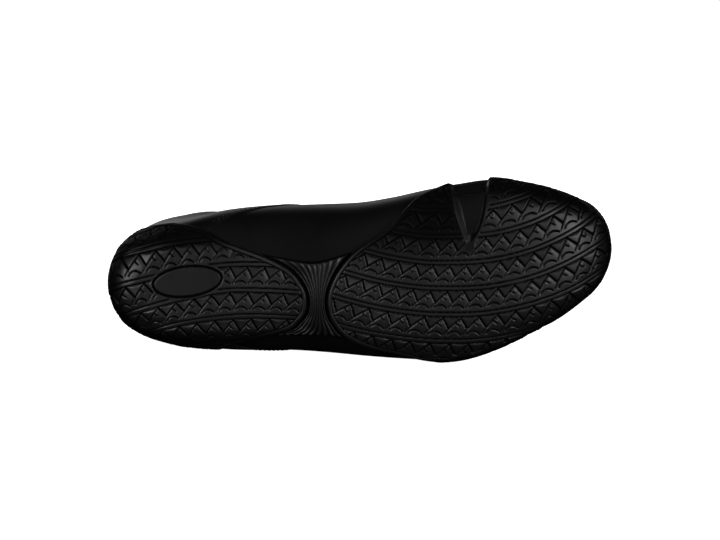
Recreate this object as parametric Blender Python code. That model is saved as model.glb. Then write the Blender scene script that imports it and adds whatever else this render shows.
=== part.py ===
"""Left boxing shoe, lying on its outer side: sole towards -Y, toe towards +X, inner side up.

The shoe is modelled in its own frame: X from heel to toe, Y to the outer side, Z up from the sole.
All pieces are cut from one last. A place on the last is a station, which runs along the sole line,
up the heel back and over the toe, and a girth, which runs round the section at that station.
"""
import math

import bmesh
import bpy
import numpy as np

MM = 0.001

# Driving sizes, in millimetres
WALL = 2.2
GAP = 0.5
PAD_THICK = 4.4
PAD_RIM_THICK = 1.7
PAD_BORDER_SHARE = 0.7
NOTCH_FLOOR = 1.2
NOTCH_DEPTH = 14.0
WEB_LOW = 1.6
WEB_HIGH = 2.7
WEB_RIBS = 9
WEB_GROOVE = 1.8
COUNTER_RISE = 0.6
COUNTER_BACK = 5.0
COUNTER_BACK_BLEND = 15.0
EYESTAY_RISE = 1.0
EYESTAY_WIDE = 16.0
EYELET_IN = 8.0
INSOLE_THICK = 3.0
INNER_GAP = 0.8
TONGUE_THICK = 3.0
TONGUE_GAP = 1.5
LACE_WIDE = 6.0
LACE_THICK = 1.8
LACE_CLEAR = 1.1
LACE_OVER = 0.5
LACE_PAST = 0.06
EYELET_ROWS = 7
EYELET_FIRST = 174.0
EYELET_LAST = 4.0

# Girths: where the counter's step starts and how far it takes, the web's edges and the bow of its inner one
COUNTER_START = 0.40
COUNTER_BLEND = 0.07
WEB_OUTER = -0.45
WEB_INNER = 0.225
WEB_INNER_BOW = 0.06

# Shares of a pad's half width and of its length past which it thins towards its rim
PAD_SIDE_THIN = 0.45
PAD_FAR_THIN = 0.82

# How the shoe lies: turn of its toe off the floor and lean of its sole towards the sky, in degrees
LIE_YAW = 5.27
LIE_ROLL = 1.71

# Girth at the rim of each pad, and the stations where its rim crosses the middle and the corners
HEEL_RIM_GIRTH = 0.62
HEEL_RIM_MID = -12.0
HEEL_RIM_CORNER = 5.0
FORE_RIM_GIRTH = 0.80
FORE_RIM_MID = 290.0
FORE_RIM_CORNER = 281.0

# Stations where the throat closes, the eyestays end and the collar lies
THROAT_FRONT = 190.0
EYESTAY_FRONT = 198.0
COLLAR = -110.0
TOE_POLE = 313.0

# One row a section of the last. Positions are in millimetres; inner and outer are the widest points
# across, bottom_mid and top_mid the middle line across, all measured towards the inner side.
# wide is the level of the widest point above the sole line, bottom_round the superellipse power of the
# half below it, top_pinch the share by which the half above it is drawn in towards the top line, and
# top_round the superellipse power of that half.
SECTION_COLUMNS = ("station", "bottom_x", "bottom_z", "top_x", "top_z", "inner", "outer",
                   "bottom_mid", "top_mid", "wide", "bottom_round", "top_pinch", "top_round")
SECTIONS = np.array([
    (-126.0, 10.8, 139.0, 91.4, 165.0, 31.0, -36.0, -1.5, -1.0, 43.0, 2.1, 0.0, 2.0),
    (-110.0, 10.6, 123.0, 92.0, 153.5, 31.0, -36.0, -1.5, -1.0, 44.0, 2.1, 0.0, 2.0),
    (-85.0, 10.2, 98.0, 92.6, 152.8, 31.3, -36.5, -1.8, -1.0, 48.0, 2.1, 0.0, 2.0),
    (-60.0, 7.8, 73.0, 93.6, 151.8, 31.5, -36.8, -2.0, -1.0, 56.0, 2.2, 0.04, 2.0),
    (-34.0, 4.2, 47.0, 95.0, 150.3, 31.4, -36.4, -2.4, -1.0, 60.0, 2.3, 0.08, 2.1),
    (-14.0, 2.6, 27.0, 97.0, 148.3, 31.4, -36.4, -2.6, -1.0, 62.0, 2.1, 0.13, 2.2),
    (0.0, 4.4, 13.0, 99.2, 145.8, 31.5, -36.5, -2.8, -1.0, 60.0, 2.1, 0.17, 2.3),
    (10.0, 10.6, 6.6, 101.2, 143.2, 31.8, -36.8, -2.8, -1.0, 54.0, 2.2, 0.2, 2.35),
    (24.0, 24.0, 4.4, 104.2, 139.6, 32.4, -37.4, -2.9, -1.0, 43.0, 2.9, 0.24, 2.4),
    (40.0, 40.0, 4.4, 108.2, 134.8, 33.4, -38.4, -2.8, -0.8, 31.0, 4.2, 0.27, 2.4),
    (60.0, 60.0, 5.0, 114.2, 127.4, 36.6, -41.2, -2.8, -0.4, 26.0, 3.8, 0.3, 2.4),
    (80.0, 80.0, 7.4, 121.8, 118.0, 37.8, -42.9, -3.2, 0.2, 24.0, 3.0, 0.32, 2.4),
    (100.0, 100.0, 10.2, 131.2, 107.2, 38.0, -44.5, -3.6, 1.0, 23.0, 2.6, 0.33, 2.4),
    (120.0, 120.0, 10.8, 142.2, 96.2, 38.0, -46.6, -4.2, 2.0, 22.0, 2.5, 0.32, 2.35),
    (140.0, 140.0, 9.0, 155.2, 85.6, 38.4, -48.8, -4.6, 3.0, 21.0, 2.7, 0.29, 2.3),
    (160.0, 160.0, 6.4, 169.2, 76.0, 40.8, -50.4, -4.4, 4.0, 19.0, 3.0, 0.24, 2.25),
    (180.0, 180.0, 4.6, 184.2, 68.0, 44.4, -51.4, -3.2, 5.0, 17.0, 3.6, 0.17, 2.2),
    (200.0, 200.0, 4.4, 200.0, 61.6, 47.2, -50.2, -1.0, 6.0, 17.0, 3.8, 0.1, 2.2),
    (220.0, 220.0, 4.6, 216.0, 56.6, 48.8, -44.6, 2.0, 7.0, 17.0, 3.7, 0.05, 2.15),
    (240.0, 240.0, 5.8, 231.0, 52.6, 45.4, -36.4, 4.6, 7.8, 17.0, 3.4, 0.0, 2.1),
    (255.0, 255.0, 7.8, 241.0, 50.0, 41.8, -30.0, 6.2, 8.4, 17.0, 3.0, 0.0, 2.0),
    (268.0, 268.0, 10.8, 248.6, 48.0, 37.4, -22.8, 7.6, 8.8, 17.0, 2.6, 0.0, 2.0),
    (277.0, 276.8, 14.2, 253.6, 46.6, 33.8, -17.6, 8.4, 9.0, 16.5, 2.3, 0.0, 2.0),
    (283.0, 281.3, 18.4, 257.0, 45.6, 31.2, -14.0, 9.0, 9.0, 16.0, 2.1, 0.0, 2.0),
    (289.0, 283.2, 24.4, 259.6, 44.8, 28.4, -10.4, 9.2, 9.0, 15.0, 2.0, 0.0, 2.0),
    (297.0, 282.0, 31.6, 262.2, 44.0, 24.0, -6.0, 9.2, 9.0, 11.8, 2.0, 0.0, 2.0),
    (305.0, 277.2, 38.0, 264.8, 43.2, 18.6, -0.6, 9.0, 9.0, 6.7, 2.0, 0.0, 2.0),
    (313.0, 270.6, 41.4, 270.6, 41.4, 9.0, 9.0, 9.0, 9.0, 0.0, 2.0, 0.0, 2.0),
])

# Front border of the heel pad and rear border of the forefoot pad: girth and station
HEEL_BORDER = np.array([(-0.62, 58.0), (-0.55, 68.0), (-0.50, 80.0), (-0.43, 97.5), (-0.33, 107.5),
                        (-0.16, 112.5), (0.0, 109.0), (0.12, 101.5), (0.23, 87.0), (0.35, 66.5),
                        (0.48, 50.5), (0.56, 36.0), (0.62, 20.0)])
FORE_BORDER = np.array([(-0.80, 186.0), (-0.68, 178.0), (-0.62, 166.0), (-0.56, 148.5), (-0.48, 135.5),
                        (-0.35, 126.5), (-0.19, 123.3), (0.0, 126.8), (0.12, 132.0), (0.25, 141.0),
                        (0.40, 160.0), (0.50, 168.5), (0.60, 176.5), (0.70, 188.0), (0.80, 194.0)])

# Flex notch in the forefoot pad: girth, rear edge and front edge
NOTCH = np.array([(0.19, 203.2, 205.0), (0.30, 200.8, 210.4), (0.42, 198.4, 213.4), (0.55, 196.6, 215.2),
                  (0.70, 195.8, 216.6), (0.95, 195.4, 218.0)])

# Opening under the upper: station, girth of its outer edge and of its inner edge
UNDER_OPENING = np.array([(14.0, 0.0, 0.0), (20.0, -0.12, 0.12), (34.0, -0.24, 0.24), (60.0, -0.27, 0.25),
                          (90.0, -0.26, 0.19), (115.0, -0.24, 0.10), (140.0, -0.25, 0.13),
                          (165.0, -0.30, 0.25), (200.0, -0.32, 0.30), (235.0, -0.30, 0.28),
                          (256.0, -0.20, 0.20), (266.0, -0.10, 0.10), (272.0, 0.0, 0.0)])

# Half width of the throat, along the surface from the top line: station and millimetres
THROAT = np.array([(COLLAR, 19.0), (0.0, 18.0), (60.0, 16.0), (120.0, 13.5), (160.0, 11.0), (178.0, 8.5),
                   (186.0, 5.0), (THROAT_FRONT, 0.0)])

# Front seam of the heel counter: girth and station
COUNTER_SEAM = np.array([(0.0, 54.0), (0.40, 54.5), (0.75, 79.5), (1.0, 93.0), (1.4, 104.0), (2.0, 113.0)])
SEAM_ROW = 66.0
SEAM_HALF = 0.4

# How far each row of the upper follows the counter seam: station and share, and passes to settle it
SEAM_PULL = np.array([(18.0, 0.0), (SEAM_ROW, 1.0), (150.0, 0.0)])
SEAM_PASSES = 4

# Half width of the insole in girth: station and girth
INSOLE_SPAN = np.array([(17.0, 0.16), (24.0, 0.32), (40.0, 0.41), (80.0, 0.38), (120.0, 0.34),
                        (160.0, 0.38), (200.0, 0.43), (235.0, 0.42), (252.0, 0.36), (263.0, 0.24),
                        (268.0, 0.12)])

# Half width of the tongue, along the surface from the top line: station and millimetres
TONGUE = np.array([(-126.0, 25.0), (-60.0, 27.0), (0.0, 30.0), (60.0, 32.0), (160.0, 28.0), (206.0, 20.0)])

# Stations of the upper's rows, without the pair at the counter seam, and shares of its columns
UPPER_ROWS = (-110, -97, -84, -70, -55, -40, -27, -15, -5, 3, 10, 18, 28, 40, 53, 78, 90, 104, 118,
              133, 148, 164, 177, 186, 190, 198, 207, 218, 230, 242, 253, 262, 270, 277, 283, 289,
              295, 301, 307, 313)
UPPER_SHARES = (0.0, 0.09, 0.17, 0.25, 0.33, 0.43, 0.55, 0.70, 0.85, 1.0)
EYESTAY_EDGE = 0.008

# Shares of a pad from its border to its far rim, and from its middle to its side rim
HEEL_SHARES = (0.0, 0.04, 0.14, 0.26, 0.38, 0.49, 0.59, 0.67, 0.74, 0.79, 0.84, 0.88, 0.92, 0.96, 1.0)
FORE_SHARES = (0.0, 0.03, 0.11, 0.20, 0.29, 0.38, 0.47, 0.56, 0.65, 0.73, 0.80, 0.86, 0.91, 0.94, 0.97, 1.0)
PAD_COLUMNS = (0.0, 0.2, 0.38, 0.5, 0.58, 0.66, 0.72, 0.78, 0.84, 0.91, 1.0)

# Stations of the rows of the insole and of the tongue, and counts of rows, columns and steps elsewhere
INSOLE_ROWS = (17, 20, 24, 31, 40, 54, 70, 86, 102, 118, 134, 150, 166, 182, 198, 214, 228, 240, 249, 257,
               263, 268)
TONGUE_ROWS = (206, 196, 184, 170, 155, 140, 124, 108, 92, 76, 60, 44, 28, 10, -14, -42, -74, -106, -118)
SHEET_COLUMNS = 9
WEB_COLUMNS = 10
NOTCH_ROWS = 8
NOTCH_COLUMNS = 4
LACE_STEPS = 8
TOP_LINE_STEPS = 400

# Girths walked down from the top line to measure along the surface
TOP_REACH = np.linspace(2.0, 0.9, 56)

# Small step for directions, clear distance from the toe's pole, and the angle of a sharp edge in degrees
TINY_STEP = 0.01
POLE_CLEAR = 0.4
SHARP_ANGLE = 40.0

# Finishes: name, colour and roughness
RUBBER = ("black rubber", (0.012, 0.012, 0.013), 0.45)
LEATHER = ("black synthetic leather", (0.010, 0.010, 0.011), 0.40)
LINING = ("black lining cloth", (0.016, 0.016, 0.017), 0.85)
CORD = ("black lace", (0.014, 0.014, 0.015), 0.70)


def ramp(low, high, value):
    """Smooth step from 0 at low to 1 at high."""
    share = np.clip((value - low) / (high - low), 0.0, 1.0)
    return share * share * (3.0 - 2.0 * share)


def smooth(knots, values, at):
    """Cubic curve through table rows, with the slope at each row taken from its neighbours."""
    slopes = np.gradient(values, knots)
    at = np.clip(at, knots[0], knots[-1])
    row = np.clip(np.searchsorted(knots, at, side="right") - 1, 0, len(knots) - 2)
    width = knots[row + 1] - knots[row]
    share = (at - knots[row]) / width
    rest = 1.0 - share
    start = rest * rest * ((1.0 + 2.0 * share) * values[row] + share * width * slopes[row])
    end = share * share * ((3.0 - 2.0 * share) * values[row + 1] - rest * width * slopes[row + 1])
    return start + end


def section(station):
    """Interpolated row of the section table, as a dictionary of columns."""
    knots = SECTIONS[:, 0]
    return {name: smooth(knots, SECTIONS[:, column], station)
            for column, name in enumerate(SECTION_COLUMNS) if column}


def last(station, girth):
    """Point of the last: girth 0 is the sole line, 1 the widest inner point, 2 the top line, minus outer."""
    station, girth = np.broadcast_arrays(np.asarray(station, float), np.asarray(girth, float))
    row = section(station)
    span_x = row["top_x"] - row["bottom_x"]
    span_z = row["top_z"] - row["bottom_z"]
    height = np.maximum(np.hypot(span_x, span_z), 1e-6)
    reach = np.abs(girth)
    low = reach <= 1.0
    power = np.where(low, row["bottom_round"], row["top_round"])
    angle = np.where(low, reach, 2.0 - reach) * math.pi / 2
    sine = np.clip(np.sin(angle), 0.0, 1.0)
    cosine = np.clip(np.cos(angle), 0.0, 1.0)
    radius = (sine ** power + cosine ** power) ** (-1.0 / power)
    edge = np.where(girth >= 0.0, row["inner"], row["outer"])
    middle = np.where(low, row["bottom_mid"], row["top_mid"])
    drawn = np.where(low, 1.0, 1.0 - row["top_pinch"] * cosine ** 2)
    across = middle + (edge - middle) * sine * radius * drawn
    rise = np.where(low, row["wide"] * (1.0 - cosine * radius),
                    row["wide"] + (height - row["wide"]) * cosine * radius)
    return np.stack([row["bottom_x"] + span_x / height * rise, -across,
                     row["bottom_z"] + span_z / height * rise], axis=-1)


def normal(station, girth):
    """Outward direction of the last, from small steps along station and girth."""
    step = TINY_STEP
    station, girth = np.broadcast_arrays(np.asarray(station, float), np.asarray(girth, float))
    station = np.clip(station, SECTIONS[0, 0] + step, TOE_POLE - POLE_CLEAR)
    side = np.where(girth >= 0.0, 1.0, -1.0)
    girth = side * np.clip(np.abs(girth), step, 2.0 - step)
    along = last(station + step, girth) - last(station - step, girth)
    round_section = last(station, girth + step / 2) - last(station, girth - step / 2)
    out = np.cross(along, round_section)
    return out / np.linalg.norm(out, axis=-1, keepdims=True)


def offset(station, girth, distance):
    """Point at a distance outside the last."""
    return last(station, girth) + normal(station, girth) * np.asarray(distance, float)[..., None]


def top_girth(station, distance, side):
    """Girth at a distance along the surface from the top line, on the inner (1) or the outer (-1) side."""
    reach = TOP_REACH
    station, distance = np.broadcast_arrays(np.asarray(station, float), np.asarray(distance, float))
    places = last(station[..., None], side * reach)
    steps = np.linalg.norm(np.diff(places, axis=-2), axis=-1)
    run = np.concatenate([np.zeros_like(steps[..., :1]), steps.cumsum(axis=-1)], axis=-1)
    past = np.clip((run <= distance[..., None]).sum(axis=-1), 1, len(reach) - 1)
    start = np.take_along_axis(run, past[..., None] - 1, axis=-1)[..., 0]
    step = np.take_along_axis(steps, past[..., None] - 1, axis=-1)[..., 0]
    share = np.clip((distance - start) / np.maximum(step, 1e-9), 0.0, 1.0)
    return reach[0] + (past - 1 + share) * (reach[1] - reach[0])


def grid_faces(rows, columns, first=0):
    """Quads of a grid whose points run row by row."""
    corner = first + np.arange(rows - 1)[:, None] * columns + np.arange(columns - 1)[None, :]
    quads = np.stack([corner, corner + 1, corner + columns + 1, corner + columns], axis=-1)
    return quads.reshape(-1, 4)


def solid(name, outer, inner, faces, finish):
    """Closed body between two sheets that share their faces, with a wall along each free edge."""
    outer = outer.reshape(-1, 3)
    inner = inner.reshape(-1, 3)
    places, first, weld = np.unique(np.round(outer, 3), axis=0, return_index=True, return_inverse=True)
    weld = weld.reshape(-1)
    count = len(places)
    points = np.concatenate([outer[first], inner[first]]) * MM
    sheet = []
    edges = {}
    for face in faces:
        ring = []
        for corner in weld[face]:
            if not ring or (corner != ring[-1] and corner != ring[0]):
                ring.append(int(corner))
        if len(ring) < 3:
            continue
        sheet.append(ring)
        for start, end in zip(ring, ring[1:] + ring[:1]):
            edges[(start, end)] = True
    walls = [(end, start, start + count, end + count) for start, end in edges if (end, start) not in edges]
    back = [[corner + count for corner in reversed(ring)] for ring in sheet]
    mesh = bpy.data.meshes.new(name)
    mesh.from_pydata(points.tolist(), [], sheet + walls + back)
    return finished(name, mesh, finish)


def finished(name, mesh, finish):
    """Object with its faces turned outwards and its material."""
    shape = bmesh.new()
    shape.from_mesh(mesh)
    loose = [vertex for vertex in shape.verts if not vertex.link_faces]
    bmesh.ops.delete(shape, geom=loose, context="VERTS")
    bmesh.ops.recalc_face_normals(shape, faces=shape.faces)
    shape.to_mesh(mesh)
    shape.free()
    mesh.shade_smooth()
    mesh.set_sharp_from_angle(angle=math.radians(SHARP_ANGLE))
    mesh.materials.append(finish)
    thing = bpy.data.objects.new(name, mesh)
    bpy.context.scene.collection.objects.link(thing)
    return thing


def finish_of(name, colour, roughness):
    """Principled material with one colour and roughness."""
    material = bpy.data.materials.new(name)
    material.use_nodes = True
    shader = material.node_tree.nodes["Principled BSDF"]
    shader.inputs["Base Color"].default_value = (*colour, 1.0)
    shader.inputs["Roughness"].default_value = roughness
    shader.inputs["Metallic"].default_value = 0.0
    material.diffuse_color = (*colour, 1.0)
    return material


def cutter(thing):
    """Mark an object as a tool for a Boolean."""
    thing.hide_render = True
    thing.display_type = "WIRE"


def counter_rise(station, girth, lead=0.0):
    """Step of the heel counter: none under the flat of the heel, full up the sides and the back."""
    sides = (np.abs(girth) - COUNTER_START + lead) / COUNTER_BLEND
    back = np.maximum(COUNTER_BACK - station, 0.0) / COUNTER_BACK_BLEND
    return COUNTER_RISE * ramp(0.0, 1.0, sides + back)


def pad_sheets(border, rim_girth, rim_mid, rim_corner, shares, with_counter):
    """Outer and inner sheet of a tread pad that runs from its border to its far rim."""
    half = np.array(PAD_COLUMNS)
    across = np.concatenate([-half[:0:-1], half])
    share = np.array(shares)[:, None]
    start = smooth(border[:, 0], border[:, 1], across * rim_girth)[None, :]
    stop = rim_corner + (rim_mid - rim_corner) * (1.0 - across ** 2)[None, :]
    station = start + (stop - start) * share
    girth = np.broadcast_to(across * rim_girth, station.shape)
    thick = PAD_THICK + (PAD_RIM_THICK - PAD_THICK) * ramp(PAD_SIDE_THIN, 1.0, np.abs(across))[None, :]
    thick = thick + (PAD_RIM_THICK - thick) * ramp(PAD_FAR_THIN, 1.0, share)
    thick = np.where(share == 0.0, thick * PAD_BORDER_SHARE, thick)
    base = np.full(station.shape, GAP)
    if with_counter:
        base = base + counter_rise(station, girth, lead=COUNTER_BLEND)
    outer = offset(station, girth, base + thick)
    outer[..., 2] = np.maximum(outer[..., 2], 0.0)
    return outer, offset(station, girth, base)


def make_heel_pad(finish):
    """Tread pad of the heel, which sits on the counter's step."""
    outer, inner = pad_sheets(HEEL_BORDER, HEEL_RIM_GIRTH, HEEL_RIM_MID, HEEL_RIM_CORNER, HEEL_SHARES, True)
    return solid("outsole_heel", outer, inner, grid_faces(*outer.shape[:2]), finish)


def make_fore_pad(finish):
    """Tread pad of the forefoot, with its flex notch cut in from the inner edge."""
    outer, inner = pad_sheets(FORE_BORDER, FORE_RIM_GIRTH, FORE_RIM_MID, FORE_RIM_CORNER, FORE_SHARES, False)
    pad = solid("outsole_forefoot", outer, inner, grid_faces(*outer.shape[:2]), finish)
    girth = np.linspace(NOTCH[0, 0], NOTCH[-1, 0], NOTCH_ROWS)[:, None]
    rear = smooth(NOTCH[:, 0], NOTCH[:, 1], girth)
    front = smooth(NOTCH[:, 0], NOTCH[:, 2], girth)
    station = rear + (front - rear) * np.linspace(0.0, 1.0, NOTCH_COLUMNS)[None, :]
    girth = np.broadcast_to(girth, station.shape)
    floor = offset(station, girth, np.full(station.shape, GAP + NOTCH_FLOOR))
    outside = offset(station, girth, np.full(station.shape, NOTCH_DEPTH))
    notch = solid("notch_tool", outside, floor, grid_faces(*station.shape), finish)
    cutter(notch)
    cut = pad.modifiers.new("flex notch", "BOOLEAN")
    cut.operation = "DIFFERENCE"
    cut.object = notch
    return [pad, notch]


def make_web(finish):
    """Ribbed web between the pads, narrow in its middle, with ribs from the outer to the inner edge."""
    share = np.linspace(0.0, 1.0, 2 * WEB_RIBS + 1)[:, None]
    bow = 4.0 * share * (1.0 - share)
    inner_edge = WEB_INNER - WEB_INNER_BOW * bow
    girth = WEB_OUTER + (inner_edge - WEB_OUTER) * np.linspace(0.0, 1.0, WEB_COLUMNS)[None, :]
    rear = smooth(HEEL_BORDER[:, 0], HEEL_BORDER[:, 1], girth) + WEB_GROOVE
    front = smooth(FORE_BORDER[:, 0], FORE_BORDER[:, 1], girth) - WEB_GROOVE
    station = rear + (front - rear) * share
    thick = np.where(np.arange(len(share)) % 2 == 1, WEB_HIGH, WEB_LOW)[:, None]
    outer = offset(station, girth, GAP + np.broadcast_to(thick, station.shape))
    inner = offset(station, girth, np.full(station.shape, GAP))
    return solid("outsole_waist", outer, inner, grid_faces(*station.shape), finish)


def upper_side(side):
    """Stations, girths and wall steps of one side of the upper, from the under opening to the throat."""
    rows = sorted(UPPER_ROWS + (SEAM_ROW - SEAM_HALF, SEAM_ROW + SEAM_HALF))
    base = np.array(rows, float)[:, None]
    station = np.repeat(base, len(UPPER_SHARES) + 3, axis=1)
    pull = np.interp(base, SEAM_PULL[:, 0], SEAM_PULL[:, 1])
    girth = station
    column = 2 if side > 0 else 1
    for _ in range(SEAM_PASSES):
        under = np.abs(np.interp(station, UNDER_OPENING[:, 0], UNDER_OPENING[:, column]))
        throat = np.interp(station, THROAT[:, 0], THROAT[:, 1])
        lip = top_girth(station, throat, side)
        stay = top_girth(station, throat + EYESTAY_WIDE, side)
        share = np.array(UPPER_SHARES + (1.0, 1.0, 1.0))[None, :]
        girth = under + (stay - EYESTAY_EDGE - under) * share
        girth[:, -3] = (stay + EYESTAY_EDGE)[:, -3]
        girth[:, -2] = ((stay + lip) / 2)[:, -2]
        girth[:, -1] = lip[:, -1]
        seam = np.interp(girth, COUNTER_SEAM[:, 0], COUNTER_SEAM[:, 1])
        station = base + (seam - SEAM_ROW) * pull
    rise = np.where(base < SEAM_ROW, counter_rise(station, girth), 0.0)
    stayed = np.zeros_like(rise)
    stayed[:, -3:] = np.where(base < EYESTAY_FRONT, EYESTAY_RISE, 0.0)
    return station, side * girth, np.maximum(rise, stayed)


def make_upper(finish):
    """Both sides of the upper, joined under the heel, over the toe and in front of the throat."""
    sheets = []
    backs = []
    faces = []
    count = 0
    for side in (1, -1):
        station, girth, rise = upper_side(side)
        outer = offset(station, girth, rise)
        inner = offset(station, girth, np.full(rise.shape, -WALL))
        quads = grid_faces(*station.shape, first=count)
        faces.append(quads if side > 0 else quads[:, ::-1])
        sheets.append(outer.reshape(-1, 3))
        backs.append(inner.reshape(-1, 3))
        count += station.size
    return solid("upper", np.concatenate(sheets), np.concatenate(backs), np.concatenate(faces), finish)


def make_insole(finish):
    """Sock that lies on the upper's margin under the foot."""
    station = np.array(INSOLE_ROWS, float)[:, None]
    span = smooth(INSOLE_SPAN[:, 0], INSOLE_SPAN[:, 1], station)
    girth = span * np.linspace(-1.0, 1.0, SHEET_COLUMNS)[None, :]
    station = np.broadcast_to(station, girth.shape)
    top = offset(station, girth, np.full(girth.shape, -WALL - INNER_GAP - INSOLE_THICK))
    under = offset(station, girth, np.full(girth.shape, -WALL - INNER_GAP))
    return solid("insole", under, top, grid_faces(*girth.shape), finish)


def over_top(station, across):
    """Girth at a signed distance from the top line, plus towards the inner side."""
    inner = top_girth(station, np.abs(across), 1)
    outer = top_girth(station, np.abs(across), -1)
    return np.where(across >= 0.0, inner, -outer)


def make_tongue(finish):
    """Strip under the throat, from the vamp to above the collar."""
    station = np.array(TONGUE_ROWS, float)[:, None]
    half = np.interp(station, TONGUE[:, 0], TONGUE[:, 1])
    girth = over_top(station, half * np.linspace(-1.0, 1.0, SHEET_COLUMNS)[None, :])
    station = np.broadcast_to(station, girth.shape)
    face = offset(station, girth, np.full(girth.shape, -WALL - TONGUE_GAP))
    back = offset(station, girth, np.full(girth.shape, -WALL - TONGUE_GAP - TONGUE_THICK))
    return solid("tongue", face, back, grid_faces(*girth.shape), finish)


def eyelet_stations():
    """Stations of the eyelet rows, evenly spaced along the top line."""
    station = np.linspace(EYELET_FIRST, EYELET_LAST, TOP_LINE_STEPS)
    row = section(station)
    run = np.hypot(np.diff(row["top_x"]), np.diff(row["top_z"]))
    run = np.concatenate([[0.0], np.cumsum(run)])
    return np.interp(np.linspace(0.0, run[-1], EYELET_ROWS), run, station)


def lace_run(name, start, end, lift, finish):
    """Flat lace from just past one eyelet to just past another. A place is a station and a side."""
    share = np.linspace(-LACE_PAST, 1.0 + LACE_PAST, LACE_STEPS)
    station = start[0] + (end[0] - start[0]) * share
    half = np.interp(station, THROAT[:, 0], THROAT[:, 1]) + EYELET_IN
    across = half * (start[1] + (end[1] - start[1]) * share)
    girth = over_top(station, across)
    low = offset(station, girth, np.full(share.shape, lift))
    high = offset(station, girth, np.full(share.shape, lift + LACE_THICK))
    along = np.gradient(low, axis=0)
    side = np.cross(along, high - low)
    side = side / np.linalg.norm(side, axis=-1, keepdims=True) * LACE_WIDE / 2
    top = np.stack([high - side, high + side], axis=1)
    bottom = np.stack([low - side, low + side], axis=1)
    return solid(name, top, bottom, grid_faces(len(share), 2), finish)


def make_laces(finish):
    """Bar at the lowest eyelets and two strands that cross at each row, joined into one body."""
    rows = eyelet_stations()
    lift = EYESTAY_RISE + LACE_CLEAR
    runs = [lace_run("lace_bar_tool", (rows[0], -1.0), (rows[0], 1.0), lift + LACE_OVER / 2, finish)]
    for number, (low, high) in enumerate(zip(rows[:-1], rows[1:])):
        runs.append(lace_run(f"lace_rise_tool_{number}", (low, -1.0), (high, 1.0), lift, finish))
        runs.append(lace_run(f"lace_fall_tool_{number}", (low, 1.0), (high, -1.0), lift + LACE_OVER, finish))
    laces = runs[0]
    laces.name = "laces"
    shape = bmesh.new()
    for run in runs[1:]:
        shape.from_mesh(run.data)
        bpy.data.objects.remove(run)
    rest_mesh = bpy.data.meshes.new("lace_strands_tool")
    shape.to_mesh(rest_mesh)
    shape.free()
    strands = finished("lace_strands_tool", rest_mesh, finish)
    cutter(strands)
    join = laces.modifiers.new("crossings", "BOOLEAN")
    join.operation = "UNION"
    join.object = strands
    join.use_self = True
    return [laces, strands]


def lay_down(things):
    """Hang the pieces on an empty that lays the shoe on its outer side, over the middle of its box."""
    stand = bpy.data.objects.new("shoe", None)
    bpy.context.scene.collection.objects.link(stand)
    stand.rotation_mode = "XYZ"
    stand.rotation_euler = (math.radians(-90.0 - LIE_ROLL), math.radians(-LIE_YAW), 0.0)
    for thing in things:
        thing.parent = stand
    turn = np.array(stand.rotation_euler.to_matrix())
    points = np.concatenate([[vertex.co[:] for vertex in thing.data.vertices]
                             for thing in things if not thing.hide_render]) @ turn.T
    low = points.min(axis=0)
    high = points.max(axis=0)
    stand.location = (-(low[0] + high[0]) / 2, -(low[1] + high[1]) / 2, -low[2])


def main():
    for thing in list(bpy.data.objects):
        bpy.data.objects.remove(thing)
    rubber = finish_of(*RUBBER)
    lining = finish_of(*LINING)
    things = [make_heel_pad(rubber)]
    things += make_fore_pad(rubber)
    things.append(make_web(rubber))
    things.append(make_upper(finish_of(*LEATHER)))
    things.append(make_insole(lining))
    things.append(make_tongue(lining))
    things += make_laces(finish_of(*CORD))
    lay_down(things)


main()
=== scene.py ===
"""Looks of the left boxing shoe: moulded tread, ribbed waist, leather upper, tongue, sock and laces.

Every piece is worked out on the last that the solids were cut from. A place on the last is a station,
which runs along the sole line, up the heel back and over the toe, and a girth, which runs round the
section there: 0 on the sole line, 1 at the widest inner point, 2 on the top line, minus on the outer side.
Sizes are millimetres in the shoe's own frame: X from heel to toe, Y to the outer side, Z up from the sole.
"""
import math

import bpy
import numpy as np
from mathutils import Matrix, Vector


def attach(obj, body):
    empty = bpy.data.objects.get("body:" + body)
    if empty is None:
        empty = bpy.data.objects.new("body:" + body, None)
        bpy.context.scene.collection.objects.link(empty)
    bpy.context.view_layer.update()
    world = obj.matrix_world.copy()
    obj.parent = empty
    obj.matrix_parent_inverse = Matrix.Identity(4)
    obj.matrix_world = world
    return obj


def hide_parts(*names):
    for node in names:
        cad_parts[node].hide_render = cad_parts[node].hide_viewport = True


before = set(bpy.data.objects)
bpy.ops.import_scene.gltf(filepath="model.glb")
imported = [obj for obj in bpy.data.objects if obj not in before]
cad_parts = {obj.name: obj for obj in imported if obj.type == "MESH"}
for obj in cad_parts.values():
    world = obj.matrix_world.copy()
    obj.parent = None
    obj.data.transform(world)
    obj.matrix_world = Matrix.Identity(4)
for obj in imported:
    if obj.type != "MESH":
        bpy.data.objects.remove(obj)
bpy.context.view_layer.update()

MM = 0.001

# How the shoe lies on its outer side: turn and lean in degrees, and the place of its heel in metres
LIE_YAW = 5.27
LIE_ROLL = 1.71
LIE_PLACE = np.array([-0.142080, -0.078803, 0.036197])

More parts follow.
